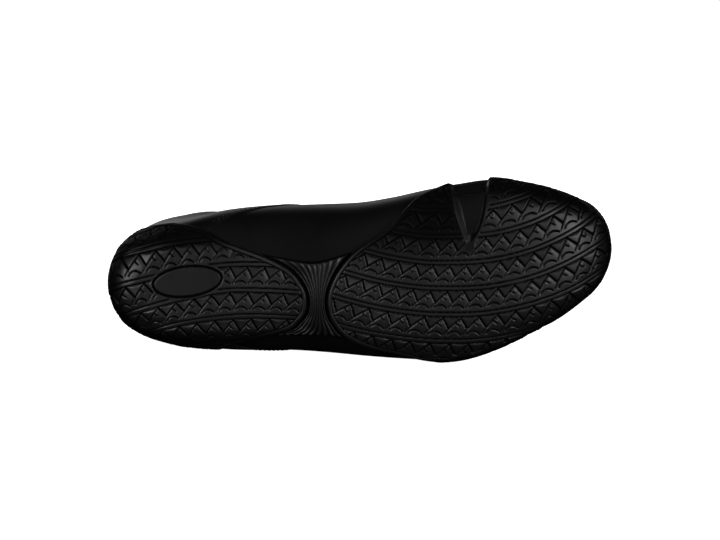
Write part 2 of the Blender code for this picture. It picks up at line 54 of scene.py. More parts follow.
# Sizes shared with the solids. Thicknesses of a pad are heights over the last here, so the solids' gap is
# part of them.
WALL = 2.2
PAD_THICK = 4.9
PAD_RIM_THICK = 2.2
PAD_SIDE_THIN = 0.45
PAD_FAR_THIN = 0.82
COUNTER_RISE = 0.6
COUNTER_START = 0.40
COUNTER_BLEND = 0.07
COUNTER_BACK = 5.0
COUNTER_BACK_BLEND = 15.0
EYESTAY_RISE = 1.0
EYESTAY_WIDE = 16.0
EYESTAY_FRONT = 198.0
EYELET_IN = 8.0
EYELET_ROWS = 7
EYELET_FIRST = 174.0
EYELET_LAST = 4.0
INSOLE_THICK = 3.0
INNER_GAP = 0.8
TONGUE_THICK = 3.0
TONGUE_GAP = 1.5
LACE_WIDE = 6.0
THROAT_FRONT = 190.0
COLLAR = -110.0
TOE_POLE = 313.0
POLE_CLEAR = 0.4

# One row a section of the last, as in the solids: ends of the sole line and the top line, widest inner and
# outer points, middle lines, level of the widest point, and how square and how pinched the halves are
SECTION_COLUMNS = ("station", "bottom_x", "bottom_z", "top_x", "top_z", "inner", "outer",
                   "bottom_mid", "top_mid", "wide", "bottom_round", "top_pinch", "top_round")
SECTIONS = np.array([
    (-126.0, 10.8, 139.0, 91.4, 165.0, 31.0, -36.0, -1.5, -1.0, 43.0, 2.1, 0.0, 2.0),
    (-110.0, 10.6, 123.0, 92.0, 153.5, 31.0, -36.0, -1.5, -1.0, 44.0, 2.1, 0.0, 2.0),
    (-85.0, 10.2, 98.0, 92.6, 152.8, 31.3, -36.5, -1.8, -1.0, 48.0, 2.1, 0.0, 2.0),
    (-60.0, 7.8, 73.0, 93.6, 151.8, 31.5, -36.8, -2.0, -1.0, 56.0, 2.2, 0.04, 2.0),
    (-34.0, 4.2, 47.0, 95.0, 150.3, 31.4, -36.4, -2.4, -1.0, 60.0, 2.3, 0.08, 2.1),
    (-14.0, 2.6, 27.0, 97.0, 148.3, 31.4, -36.4, -2.6, -1.0, 62.0, 2.1, 0.13, 2.2),
    (0.0, 4.4, 13.0, 99.2, 145.8, 31.5, -36.5, -2.8, -1.0, 60.0, 2.1, 0.17, 2.3),
    (10.0, 10.6, 6.6, 101.2, 143.2, 31.8, -36.8, -2.8, -1.0, 54.0, 2.2, 0.2, 2.35),
    (24.0, 24.0, 4.4, 104.2, 139.6, 32.4, -37.4, -2.9, -1.0, 43.0, 2.9, 0.24, 2.4),
    (40.0, 40.0, 4.4, 108.2, 134.8, 33.4, -38.4, -2.8, -0.8, 31.0, 4.2, 0.27, 2.4),
    (60.0, 60.0, 5.0, 114.2, 127.4, 36.6, -41.2, -2.8, -0.4, 26.0, 3.8, 0.3, 2.4),
    (80.0, 80.0, 7.4, 121.8, 118.0, 37.8, -42.9, -3.2, 0.2, 24.0, 3.0, 0.32, 2.4),
    (100.0, 100.0, 10.2, 131.2, 107.2, 38.0, -44.5, -3.6, 1.0, 23.0, 2.6, 0.33, 2.4),
    (120.0, 120.0, 10.8, 142.2, 96.2, 38.0, -46.6, -4.2, 2.0, 22.0, 2.5, 0.32, 2.35),
    (140.0, 140.0, 9.0, 155.2, 85.6, 38.4, -48.8, -4.6, 3.0, 21.0, 2.7, 0.29, 2.3),
    (160.0, 160.0, 6.4, 169.2, 76.0, 40.8, -50.4, -4.4, 4.0, 19.0, 3.0, 0.24, 2.25),
    (180.0, 180.0, 4.6, 184.2, 68.0, 44.4, -51.4, -3.2, 5.0, 17.0, 3.6, 0.17, 2.2),
    (200.0, 200.0, 4.4, 200.0, 61.6, 47.2, -50.2, -1.0, 6.0, 17.0, 3.8, 0.1, 2.2),
    (220.0, 220.0, 4.6, 216.0, 56.6, 48.8, -44.6, 2.0, 7.0, 17.0, 3.7, 0.05, 2.15),
    (240.0, 240.0, 5.8, 231.0, 52.6, 45.4, -36.4, 4.6, 7.8, 17.0, 3.4, 0.0, 2.1),
    (255.0, 255.0, 7.8, 241.0, 50.0, 41.8, -30.0, 6.2, 8.4, 17.0, 3.0, 0.0, 2.0),
    (268.0, 268.0, 10.8, 248.6, 48.0, 37.4, -22.8, 7.6, 8.8, 17.0, 2.6, 0.0, 2.0),
    (277.0, 276.8, 14.2, 253.6, 46.6, 33.8, -17.6, 8.4, 9.0, 16.5, 2.3, 0.0, 2.0),
    (283.0, 281.3, 18.4, 257.0, 45.6, 31.2, -14.0, 9.0, 9.0, 16.0, 2.1, 0.0, 2.0),
    (289.0, 283.2, 24.4, 259.6, 44.8, 28.4, -10.4, 9.2, 9.0, 15.0, 2.0, 0.0, 2.0),
    (297.0, 282.0, 31.6, 262.2, 44.0, 24.0, -6.0, 9.2, 9.0, 11.8, 2.0, 0.0, 2.0),
    (305.0, 277.2, 38.0, 264.8, 43.2, 18.6, -0.6, 9.0, 9.0, 6.7, 2.0, 0.0, 2.0),
    (313.0, 270.6, 41.4, 270.6, 41.4, 9.0, 9.0, 9.0, 9.0, 0.0, 2.0, 0.0, 2.0),
])

# Pads: border towards the waist as girth and station, girth of the side rim, far rim at middle and corners
HEEL_BORDER = np.array([(-0.62, 58.0), (-0.55, 68.0), (-0.50, 80.0), (-0.43, 97.5), (-0.33, 107.5),
                        (-0.16, 112.5), (0.0, 109.0), (0.12, 101.5), (0.23, 87.0), (0.35, 66.5),
                        (0.48, 50.5), (0.56, 36.0), (0.62, 20.0)])
HEEL_RIM = {"girth": 0.62, "middle": -12.0, "corner": 5.0}
FORE_BORDER = np.array([(-0.80, 186.0), (-0.68, 178.0), (-0.62, 166.0), (-0.56, 148.5), (-0.48, 135.5),
                        (-0.35, 126.5), (-0.19, 123.3), (0.0, 126.8), (0.12, 132.0), (0.25, 141.0),
                        (0.40, 160.0), (0.50, 168.5), (0.60, 176.5), (0.70, 188.0), (0.80, 194.0)])
FORE_RIM = {"girth": 0.80, "middle": 290.0, "corner": 281.0}

# Flex notch: girth, rear edge and front edge, and its floor's height over the last. Its rear wall slants less
# at the tip, and a pale painted highlight lies on that wall.
NOTCH = np.array([(0.19, 203.2, 205.0), (0.30, 200.8, 210.4), (0.42, 198.4, 213.4), (0.55, 196.6, 215.2),
                  (0.70, 195.8, 216.6), (0.95, 195.4, 218.0)])
NOTCH_FLOOR = 1.5
NOTCH_FLOOR_END = 0.51
NOTCH_FLOOR_BLEND = 0.02
NOTCH_SIDE_FLOOR = 0.2
NOTCH_REAR_SLANT = 4.6
NOTCH_TIP_SLANT = 0.35
NOTCH_FULL_SLANT = 0.42
NOTCH_FRONT_SLANT = 2.2
NOTCH_TIP_RISE = 14.0
NOTCH_CLEAR = (-1.2, -0.5)
# Dullness and painted shade in the notch and its blend, then on the edges round the cut
NOTCH_DULL_SHADE = 0.72
NOTCH_SHADE_BLEND = 0.1
NOTCH_EDGE_DULL_SHADE = 0.6
NOTCH_HIGHLIGHT_SPREAD = 8.0
NOTCH_HIGHLIGHT_LEAST = 0.55
NOTCH_HIGHLIGHT_FADE = (0.50, 0.26)

# Tread: rows of peaked teeth between double grooves. A row runs from one band line to the next, a tooth
# along it.
ROW_PITCH = 14.5
TOOTH_PITCH = 9.6
BAND_GAP = 2.45
BAND_HALF = 0.46
BAND_DEEP = 0.55
LENS_DEEP = 0.75
FACE_DEEP = 0.20
WEDGE_DEEP = 0.45
FACE_SPAN = 0.30
SCALLOP_BLEND = 0.02
LENS_LEAST = 0.01
WEDGE_LEAST = 0.05
PIP_HIGH = 0.30
PIP_SPAN = 0.9
GROOVE_FLAT = 0.15
RIM_WIDE = 3.0
RIM_BLEND = 0.2
RIM_LINE_HALF = 0.40
RIM_LINE_DEEP = 0.5
# Zones dulled and painted darker as painted shade: share, and the girths or stations where each comes in
HEEL_DULL_AND_SHADE = {"share": 0.92, "inner": (0.26, 0.38), "waist": (80.0, 66.0), "outer": (-0.36, -0.48),
             "back": (14.0, 3.0)}
FORE_DULL_AND_SHADE = {"share": 0.92, "inner": (0.02, 0.34), "toe": (0.36, 0.54), "outer": (-0.58, -0.74)}
# Upward share of the outward direction over which steep sides are dulled and painted darker: painted shade
RIM_STEEP_SHADE = (-0.86, -0.60)
EDGE_ROUND = 1.5
EDGE_FALL = 0.97
EDGE_CLEAR = (0.6, 1.8)
# Depth of a cut line at which it is fully dulled and painted darkest: painted shade in the grooves
FULL_MATTE_AND_SHADE = 0.24

# One tooth, as shares of the tooth pitch and of the row: strokes with their half width and depth in mm
TOOTH_PEAK = (0.0, 0.03)
TOOTH_VALLEY = (0.34, 0.45)
TOOTH_PIP = (-0.09, 0.26)
TOOTH_LENS = np.array([(0.10, 0.0), (0.28, 0.11), (0.48, 0.15), (0.70, 0.11), (0.90, 0.0)])
TOOTH_STROKES = (
    (((0.0, 0.0), (0.34, 0.45)), 0.58, 0.95),
    (((-0.02, 0.05), (-0.66, 0.45)), 0.46, 0.75),
    (((-0.66, 0.45), (-0.93, 0.65)), 0.38, 0.40),
    (((-0.72, 0.670), (-0.61, 0.595), (-0.49, 0.555), (-0.37, 0.545)), 0.42, 0.50),
    (((-0.37, 0.545), (-0.25, 0.560), (-0.14, 0.610), (-0.05, 0.670)), 0.52, 0.75),
    (((-0.24, 0.19), (-0.20, 0.30), (-0.09, 0.36)), 0.42, 0.45),
)

# Band lines of each pad: station, distance of one line from the sole line towards the inner side, and the row
# pitches on its inner and its outer side
FORE_ROWS = np.array([(118.0, 4.8, 14.9, 15.3), (137.5, -1.6, 14.9, 15.2), (148.5, -4.9, 14.9, 14.9),
                      (159.5, -7.6, 14.6, 14.6), (170.0, -9.5, 14.4, 14.5), (180.0, -10.8, 14.2, 14.5),
                      (190.0, -11.4, 14.3, 14.5), (200.0, -11.7, 14.4, 14.5), (210.0, -11.5, 14.5, 14.4),
                      (220.0, -10.4, 14.5, 14.4), (230.0, -8.7, 14.7, 14.4), (240.0, -6.2, 14.9, 14.5),
                      (250.0, -2.8, 15.2, 14.9), (260.0, 1.4, 15.4, 15.2), (270.0, 6.3, 15.5, 15.3),
                      (292.0, 18.5, 15.5, 15.3)])
HEEL_ROWS = np.array([(-14.0, -26.5, 15.2, 11.5), (13.5, -17.9, 15.3, 11.8), (26.0, -15.2, 15.4, 12.2),
                      (36.0, -13.0, 15.4, 12.8), (47.0, -10.9, 15.1, 13.4), (58.0, -9.1, 14.6, 14.1),
                      (69.0, -8.1, 14.3, 14.5), (80.0, -8.5, 14.4, 14.2), (91.0, -9.3, 14.4, 14.0),
                      (114.0, -11.6, 14.4, 13.9)])

# Teeth of each row, counted outwards from the stated line: row, station of one peak, pitch
FORE_TEETH = np.array([(-4.0, 170.0, 10.0), (-3.0, 185.5, 10.7), (-2.0, 166.3, 9.34), (-1.0, 155.3, 9.28),
                       (0.0, 172.0, 9.30), (1.0, 167.5, 10.05), (2.0, 169.5, 10.5), (3.0, 170.0, 10.5)])
HEEL_TEETH = np.array([(-3.0, 40.0, 9.8), (-2.0, 39.0, 9.85), (-1.0, 69.5, 9.5), (0.0, 29.2, 9.92),
                       (1.0, 49.8, 9.95), (2.0, 50.0, 10.0)])

# Oval plate in the heel tread
PLATE = {"along": 46.0, "across": -1.0, "half_long": 18.9, "half_wide": 8.4, "turn": 4.9}
PLATE_MARGIN = 1.6
PLATE_BLEND = 0.3
PLATE_EDGE = (0.2, -0.6)
PLATE_SUNK = 0.25
PLATE_MATTE = 0.18
PLATE_LINE_HALF = 0.75
PLATE_LINE_DEEP = 1.1

# Ribbed web: ribs and their mesh, heights in mm, and shares of its width for its edges and its finish, which
# is painted shade in the valleys and along the inner edge and a painted highlight on the crests
WEB_RIBS = 9
WEB_RIB_ROWS = 10
WEB_COLUMNS = 73
WEB_HIGH = 2.9
WEB_SINK = 0.3
WEB_STEEP = 0.30
WEB_GROOVE = 1.1
WEB_ENDS = (0.03, 0.02)
WEB_SHARP = 2.0
WEB_CREST_HIGHLIGHT = 0.36
WEB_PLAIN = 0.86
WEB_SHADE_SPAN = 0.28
WEB_SHADE_LINE = 0.05
WEB_OUTER = -0.475
WEB_INNER = 0.238
WEB_INNER_BOW = 0.072

# Opening under the upper: station, girth of its outer edge and of its inner edge
UNDER_OPENING = np.array([(14.0, 0.0, 0.0), (20.0, -0.12, 0.12), (34.0, -0.24, 0.24), (60.0, -0.27, 0.25),
                          (90.0, -0.26, 0.19), (115.0, -0.24, 0.10), (140.0, -0.25, 0.13),
                          (165.0, -0.30, 0.25), (200.0, -0.32, 0.30), (235.0, -0.30, 0.28),
                          (256.0, -0.20, 0.20), (266.0, -0.10, 0.10), (272.0, 0.0, 0.0)])

# Half width of the throat and of the tongue, along the surface from the top line: station and millimetres
THROAT = np.array([(COLLAR, 19.0), (0.0, 18.0), (60.0, 16.0), (120.0, 13.5), (160.0, 11.0), (178.0, 8.5),
                   (186.0, 5.0), (THROAT_FRONT, 0.0)])
TONGUE = np.array([(-126.0, 25.0), (-60.0, 27.0), (0.0, 30.0), (60.0, 32.0), (160.0, 28.0), (206.0, 20.0)])
TONGUE_ENDS = (206.0, -118.0)

# Front seam of the heel counter: girth and station, and the row of the upper that is pulled onto it
COUNTER_SEAM = np.array([(0.0, 54.0), (0.40, 54.5), (0.75, 79.5), (1.0, 93.0), (1.4, 104.0), (2.0, 113.0)])
SEAM_ROW = 66.0
SEAM_ROUNDS = 4
SEAM_PULL = np.array([(18.0, 0.0), (SEAM_ROW, 1.0), (150.0, 0.0)])

# Half width of the sock in girth: station and girth
INSOLE_SPAN = np.array([(17.0, 0.16), (24.0, 0.32), (40.0, 0.41), (80.0, 0.38), (120.0, 0.34),
                        (160.0, 0.38), (200.0, 0.43), (235.0, 0.42), (252.0, 0.36), (263.0, 0.24),
                        (268.0, 0.12)])

# Upper's mesh: row step, columns below the eyestay, lines beside the counter seam and distances from the lip
UPPER_CELL = 2.0
UPPER_COLUMNS = 58
SEAM_LINES = np.array([-2.0, -1.2, -0.6, -0.2, 0.2, 0.6, 1.2])
STAY_LINES = np.array([17.6, 16.8, 16.2, 15.8, 15.2, 14.2, 12.5, 10.5, 8.5, 6.5, 4.5, 2.8, 1.4, 0.5, 0.0])

# Creases of the upper: half width, depth and the stations and girths that each runs through. Those of the
# instep are on both sides.
BALL_CREASES = (
    (3.4, 0.90, ((203, 1.12), (207, 1.35), (210, 1.65), (211, 2.0), (209, -1.7), (206, -1.4), (202, -1.15))),
    (2.6, 0.60, ((214, 1.20), (216, 1.45), (218, 1.75), (218, -1.9), (216, -1.6), (213, -1.35))),
    (2.4, 0.50, ((196, 1.08), (200, 1.30), (203, 1.55), (204, 1.8))),
    (2.4, 0.50, ((195, -1.12), (199, -1.35), (203, -1.60))),
)
INSTEP_CREASES = (
    (4.2, 1.10, ((72, 1.60), (55, 1.50), (36, 1.38), (18, 1.28))),
    (3.4, 0.80, ((46, 1.62), (32, 1.54), (16, 1.46), (2, 1.40))),
    (3.6, 0.70, ((98, 1.55), (86, 1.42), (72, 1.30), (58, 1.20))),
)
OUTER_CREASES = tuple((half, deep, tuple((station, -girth) for station, girth in places))
                      for half, deep, places in INSTEP_CREASES)
HEEL_CREASES = (
    (4.0, 0.70, ((-46, 0.75), (-50, 0.40), (-51, 0.0), (-50, -0.40), (-46, -0.75))),
    (3.4, 0.50, ((-32, 0.70), (-35, 0.35), (-36, 0.0), (-35, -0.35), (-32, -0.70))),
)
CREASES = BALL_CREASES + INSTEP_CREASES + OUTER_CREASES + HEEL_CREASES
CREASE_FADE = 0.35

# Binding over the collar's rim: way down from the rim and way out from the last
BINDING = np.array([(6.0, -0.9), (5.9, -0.1), (5.2, 0.0), (1.2, 0.0), (0.2, -0.15), (-0.5, -0.7),
                    (-0.7, -1.5), (-0.5, -2.3), (0.2, -2.9), (1.2, -3.0), (5.2, -3.0), (5.9, -2.8),
                    (6.0, -1.9)])
BINDING_STEPS = 240
BINDING_SINK = 0.7
BINDING_REACH = (8.5, 6.5)

# Upper's steps and lip in mm: half width of a step, fade of the eyestay's front, share of the creases that
# the eyestay takes out, and rounding of the lip
STEP_HALF = 0.3
STAY_FADE = 2.0
STAY_STIFF = 0.7
LIP_ROUND = 0.6
LIP_ROUND_INSIDE = 0.3
LIP_WIDE = 0.9
LIP_FADE = 6.0

# Sock and tongue: rows and columns, and the tongue's fill, rounded edge and stitched line
INSOLE_GRID = (127, 41)
TONGUE_GRID = (163, 57)
TONGUE_ROUND = 2.0
TONGUE_FALL = 0.9
TONGUE_LINE = {"inset": 4.0, "half": 1.6, "deep": 0.7}

# Stitches: one thread as shares of its length and of its half width, and the insets of the stitched lines
STITCH_PITCH = 3.0
STITCH_LONG = 2.1
STITCH_HALF = 0.36
STITCH_RISE = 0.22
STITCH_SINK = 0.25
STITCH_SLICES = np.array([(-0.5, 0.0), (-0.36, 0.85), (0.0, 1.0), (0.36, 0.85), (0.5, 0.0)])
SEAM_INSETS = (1.8, 4.4)
SEAM_REACH = (0.52, 1.62)
LIP_INSET = 2.2
STAY_SEAM = (COLLAR + 9.0, 187.0)
COLLAR_SEAM = COLLAR + 4.4
COLLAR_SEAM_INSET = 1.5

# Eyelets: radius and height of the ring's profile
EYELET_PROFILE = np.array([(3.8, -0.3), (3.8, 0.25), (3.3, 0.75), (2.7, 0.85), (2.2, 0.5), (2.0, -0.1),
                           (0.0, -0.1)])
EYELET_TURNS = 32

# Lace: section, mesh, and heights over and under the lips in mm, then the shares of a run where it dives,
# narrows and crosses
LACE_HALF_THICK = 0.55
LACE_SQUARE = (0.5, 0.8)
LACE_GRID = (41, 16)
LACE_TUCK = 6.0
LACE_OVER = 0.9
LACE_UNDER = 0.75
LACE_DIVE = 2.6
LACE_DIVE_SPAN = (0.95, 1.0)
LACE_NARROW = 0.4
LACE_NARROW_SPAN = (0.86, 0.96)
LACE_LIP = (0.95, -0.8)
LACE_CROSS = 0.6
LACE_CROSS_SPAN = 0.5

# Pads' mesh: cells of the tread, cells of the tread to one of the back sheet, and how far that lies inside
HEEL_CELL = 0.33
FORE_CELL = 0.43
BACK_STEP = 8
BACK_SINK = 0.4

# Points of the paths that places are measured along
SAMPLES = 400
BORDER_SAMPLES = 90
SEAM_SAMPLES = 500
COUNTER_SAMPLES = 300
TOP_REACH = np.linspace(2.0, 0.9, 56)

# Way to either side that a direction is taken over, and the decimals of a place that is welded, in mm
DIRECTION_STEP = 1.0
WELD_DECIMALS = 3


def ramp(low, high, value):
    """Smooth step from 0 at low to 1 at high: three times the square less twice the cube of the share."""
    share = np.clip((value - low) / (high - low), 0.0, 1.0)
    return share * share * (3.0 - 2.0 * share)


def straight(table, at, column=1):
    """Straight lines through a column of a table, over its first column."""
    return np.interp(at, table[:, 0], table[:, column])


def smooth(table, at, column=1):
    """Cubic curve through a column of a table, over its first one, with slopes taken from neighbour rows."""
    knots = table[:, 0]
    values = table[:, column]
    slopes = np.gradient(values, knots)
    at = np.clip(at, knots[0], knots[-1])
    row = np.clip(np.searchsorted(knots, at, side="right") - 1, 0, len(knots) - 2)
    width = knots[row + 1] - knots[row]
    share = (at - knots[row]) / width
    rest = 1.0 - share
    start = rest * rest * ((1.0 + 2.0 * share) * values[row] + share * width * slopes[row])
    end = share * share * ((3.0 - 2.0 * share) * values[row + 1] - rest * width * slopes[row + 1])
    return start + end


def section(station):
    """Interpolated row of the section table, as a dictionary of columns."""
    return {name: smooth(SECTIONS, station, column) for column, name in enumerate(SECTION_COLUMNS) if column}


def last(station, girth):
    """Point of the last: two half superellipses about the widest line, in the plane of the station.

    The angle is a quarter turn times the girth, the radius is one over the root of the powered sine and
    cosine, and the upper half is drawn in by the pinch times the squared cosine.
    """
    station, girth = np.broadcast_arrays(np.asarray(station, float), np.asarray(girth, float))
    row = section(station)
    span_x = row["top_x"] - row["bottom_x"]
    span_z = row["top_z"] - row["bottom_z"]
    height = np.maximum(np.hypot(span_x, span_z), 1e-6)
    reach = np.abs(girth)
    low = reach <= 1.0
    power = np.where(low, row["bottom_round"], row["top_round"])
    angle = np.where(low, reach, 2.0 - reach) * math.pi / 2
    sine = np.clip(np.sin(angle), 0.0, 1.0)
    cosine = np.clip(np.cos(angle), 0.0, 1.0)
    radius = (sine ** power + cosine ** power) ** (-1.0 / power)
    edge = np.where(girth >= 0.0, row["inner"], row["outer"])
    middle = np.where(low, row["bottom_mid"], row["top_mid"])
    drawn = np.where(low, 1.0, 1.0 - row["top_pinch"] * cosine ** 2)
    across = middle + (edge - middle) * sine * radius * drawn
    rise = np.where(low, row["wide"] * (1.0 - cosine * radius),
                    row["wide"] + (height - row["wide"]) * cosine * radius)
    return np.stack([row["bottom_x"] + span_x / height * rise, -across,
                     row["bottom_z"] + span_z / height * rise], axis=-1)


def normal(station, girth):
    """Outward direction of the last: cross product of small steps along station and girth."""
    step = 0.01
    station, girth = np.broadcast_arrays(np.asarray(station, float), np.asarray(girth, float))
    station = np.clip(station, SECTIONS[0, 0] + step, TOE_POLE - POLE_CLEAR)
    side = np.where(girth >= 0.0, 1.0, -1.0)
    girth = side * np.clip(np.abs(girth), step, 2.0 - step)
    along = last(station + step, girth) - last(station - step, girth)
    round_section = last(station, girth + step / 2) - last(station, girth - step / 2)
    return unit(np.cross(along, round_section))


def offset(station, girth, distance):
    """Point at a distance outside the last, along its outward direction."""
    return last(station, girth) + normal(station, girth) * np.asarray(distance, float)[..., None]


def to_world(points):
    """Shoe millimetres to metres in the frame: lean about X, turn about Y, then move to the heel's place."""
    lean = math.radians(-90.0 - LIE_ROLL)
    turn = math.radians(-LIE_YAW)
    about_x = np.array([(1, 0, 0), (0, math.cos(lean), -math.sin(lean)), (0, math.sin(lean), math.cos(lean))])
    about_y = np.array([(math.cos(turn), 0, math.sin(turn)), (0, 1, 0), (-math.sin(turn), 0, math.cos(turn))])
    return points * MM @ (about_y @ about_x).T + LIE_PLACE


def run_along(path):
    """Distance along a path at each of its points, as summed chords."""
    return np.concatenate([[0.0], np.linalg.norm(np.diff(path, axis=0), axis=-1).cumsum()])


def unit(vectors):
    """Vectors brought to length one."""
    return vectors / np.linalg.norm(vectors, axis=-1, keepdims=True)


def tube_faces(rows, columns, first=0):
    """Quads of a tube whose closed rings of points run row by row, and the faces that cap its ends."""
    index = first + np.arange(rows * columns).reshape(rows, columns)
    after = np.roll(index, -1, axis=1)
    quads = np.stack([index[:-1], after[:-1], after[1:], index[1:]], axis=-1)
    return quads.reshape(-1, 4).tolist(), [index[0, ::-1].tolist(), index[-1].tolist()]


def grid_faces(rows, columns, first=0):
    """Quads of a grid whose points run row by row."""
    corner = first + np.arange(rows - 1)[:, None] * columns + np.arange(columns - 1)[None, :]
    quads = np.stack([corner, corner + 1, corner + columns + 1, corner + columns], axis=-1)
    return quads.reshape(-1, 4)


def piece(name, points, faces, finishes, node, uv=None, matte=None):
    """Smooth-shaded object from shoe points and faces, riding on the shoe and standing for a node.

    uv is a map in millimetres for woven finishes. The last argument is the share of gloss lost and of painted
    shade at each point, and below nought the share of a pale painted highlight on it.
    """
    mesh = bpy.data.meshes.new(name)
    mesh.from_pydata(to_world(points.reshape(-1, 3)).tolist(), [], [list(face) for face in faces])
    if uv is not None:
        corners = np.empty(len(mesh.loops), np.int32)
        mesh.loops.foreach_get("vertex_index", corners)
        layer = mesh.uv_layers.new(name="cloth")
        layer.data.foreach_set("uv", uv.reshape(-1, 2)[corners].ravel().astype(np.float32))
    if matte is not None:
        layer = mesh.attributes.new("matte", "FLOAT", "POINT")
        layer.data.foreach_set("value", np.ravel(matte).astype(np.float32))
    mesh.validate()
    mesh.shade_smooth()
    for finish in finishes:
        mesh.materials.append(finish)
    thing = bpy.data.objects.new(name, mesh)
    bpy.context.scene.collection.objects.link(thing)
    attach(thing, "root")
    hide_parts(node)
    return thing


def near_path(points, path):
    """Distance from points to a path in a plane or in space, and the path's share at the nearest place."""
    least = np.full(points.shape[:-1], np.inf)
    where = np.zeros(points.shape[:-1])
    for number, (start, end) in enumerate(zip(path[:-1], path[1:])):
        run = end - start
        share = np.clip((points - start) @ run / (run @ run), 0.0, 1.0)
        away = np.linalg.norm(points - start - share[..., None] * run, axis=-1)
        where = np.where(away < least, (number + share) / (len(path) - 1), where)
        least = np.minimum(least, away)
    return least, where


def groove(distance, half, deep):
    """Depth of a round-bottomed groove at a distance from its line."""
    return deep * ramp(half, GROOVE_FLAT * half, distance)


def arc_across(station, girth, steps=20):
    """Distance from the sole line along the section, plus towards the inner side: a sum of chords."""
    shares = np.linspace(0.0, 1.0, steps + 1)
    before = last(station, girth * shares[0])
    run = np.zeros(np.shape(station))
    for share in shares[1:]:
        after = last(station, girth * share)
        run = run + np.linalg.norm(after - before, axis=-1)
        before = after
    return np.sign(girth) * run


def tread_depth(along, across, rows, teeth):
    """Depth of the tread's faces and of the lines cut in them, from the distances to the nearest lines.

    A row is the distance from the stated band line over the row pitch, and a tooth the distance along the
    band, taken square to it, over the row's tooth pitch. Each tooth's face slopes to its steep flank. Between
    two peaks a wedge slopes to the other flank and a lens to the band line, whichever is deeper. A pip stands
    below each peak, and the strokes are cut in.
    """
    line = smooth(rows, along)
    lean = smooth(rows, along + 0.5) - smooth(rows, along - 0.5)
    pitch = np.where(across > line, smooth(rows, along, 2), smooth(rows, along, 3))
    row = (line - across) / pitch
    number = np.floor(row)
    low = row - number
    square = along - low * pitch * lean / (1.0 + lean * lean)
    count = np.clip(number - teeth[0, 0], 0, len(teeth) - 1).astype(int)
    tooth = (square - teeth[count, 1]) / teeth[count, 2]
    part = tooth - np.floor(tooth)
    steep = np.interp(low, (TOOTH_PEAK[1], TOOTH_VALLEY[1]), (TOOTH_PEAK[0], TOOTH_VALLEY[0]))
    gentle = np.interp(low, (TOOTH_PEAK[1], TOOTH_VALLEY[1]), (1.0 + TOOTH_PEAK[0], TOOTH_VALLEY[0]))
    between = (part > steep) & (part < gentle)
    from_peak = np.where(part > steep, part - 1.0, part)
    scallop = np.array(TOOTH_STROKES[3][0] + TOOTH_STROKES[4][0][1:])
    above = ramp(SCALLOP_BLEND, -SCALLOP_BLEND, low - straight(scallop, from_peak))
    face = FACE_DEEP * ramp(0.0, FACE_SPAN, from_peak - steep + FACE_SPAN) * above
    lens = LENS_DEEP * np.clip(1.0 - low / np.maximum(straight(TOOTH_LENS, part), LENS_LEAST), 0.0, 1.0)
    wedge = WEDGE_DEEP * np.clip((gentle - part) / np.maximum(gentle - steep, WEDGE_LEAST), 0.0, 1.0)
    depth = np.where(between, np.maximum(lens, wedge), face)
    size = np.array([TOOTH_PITCH, ROW_PITCH])
    place = np.stack([part, low], axis=-1) * size
    lines = groove(np.abs((1.0 - low) * ROW_PITCH - BAND_GAP), BAND_HALF, BAND_DEEP)
    lines = np.maximum(lines, groove(np.minimum(low, 1.0 - low) * ROW_PITCH, BAND_HALF, BAND_DEEP))
    for shift in ((0.0, 0.0), (1.0, 0.0)):
        for stroke, half, deep in TOOTH_STROKES:
            path = (np.array(stroke) + shift) * size
            lines = np.maximum(lines, groove(near_path(place, path)[0], half, deep))
        pip = (np.array(TOOTH_PIP) + shift) * size
        depth = depth - PIP_HIGH * ramp(PIP_SPAN, 0.0, np.linalg.norm(place - pip, axis=-1))
    return depth, lines


def counter_rise(station, girth, lead=0.0):
    """Step of the heel counter: none under the flat of the heel, full up the sides and the back."""
    side = (np.abs(girth) - COUNTER_START + lead) / COUNTER_BLEND
    back = np.maximum(COUNTER_BACK - station, 0.0) / COUNTER_BACK_BLEND
    return COUNTER_RISE * ramp(0.0, 1.0, side + back)


def even_steps(path, values, cell):
    """Values at even steps of about a cell along a path, in whole steps of the back sheet."""
    run = run_along(path)
    count = int(round(run[-1] / cell / BACK_STEP)) * BACK_STEP + 1
    return np.interp(np.linspace(0.0, run[-1], count), run, values)


def pad_places(border, rim, cell):
    """Stations, girths and shares of a dense pad, even along its middle and round one of its sections.

    Rows run from the border to the far rim, columns from the outer to the inner side rim.
    """
    middle = np.linspace(border[len(border) // 2, 1], rim["middle"], SAMPLES)
    share = even_steps(last(middle, 0.0), np.linspace(0.0, 1.0, SAMPLES), cell)[:, None]
    heart = 0.5 * (border[:, 1].mean() + rim["corner"])
    girths = np.linspace(-rim["girth"], rim["girth"], SAMPLES)
    girth = even_steps(last(heart, girths), girths, cell)[None, :]
    across = girth / rim["girth"]
    start = smooth(border, girth)
    stop = rim["corner"] + (rim["middle"] - rim["corner"]) * (1.0 - across ** 2)
    station = start + (stop - start) * share
    return station, np.broadcast_to(girth, station.shape), share, across, stop


def pad_height(station, girth, share, across, stop, border, rim):
    """Height of a pad's smooth top, place across the sole, and distances from its border and nearest edge.

    Near an edge the height falls by the quarter circle of the edge's radius.
    """
    thick = PAD_THICK + (PAD_RIM_THICK - PAD_THICK) * ramp(PAD_SIDE_THIN, 1.0, np.abs(across))
    thick = thick + (PAD_RIM_THICK - thick) * ramp(PAD_FAR_THIN, 1.0, share)
    arc = arc_across(station, girth)
    place = section(station)["bottom_mid"] + arc
    rim_arc = arc_across(station, np.sign(girth + 1e-9) * rim["girth"])
    line_girth = np.linspace(-rim["girth"], rim["girth"], BORDER_SAMPLES)
    line_station = smooth(border, line_girth)
    line_place = section(line_station)["bottom_mid"] + arc_across(line_station, line_girth)
    line = np.stack([line_station, line_place], axis=-1)
    from_border, _ = near_path(np.stack([station, place], axis=-1), line)
    from_edge = np.minimum(from_border, np.minimum(np.abs(rim_arc - arc), np.abs(stop - station)))
    short = 1.0 - np.clip(from_edge / EDGE_ROUND, 0.0, 1.0)
    return thick * np.sqrt(1.0 - EDGE_FALL * short * short), place, from_border, from_edge


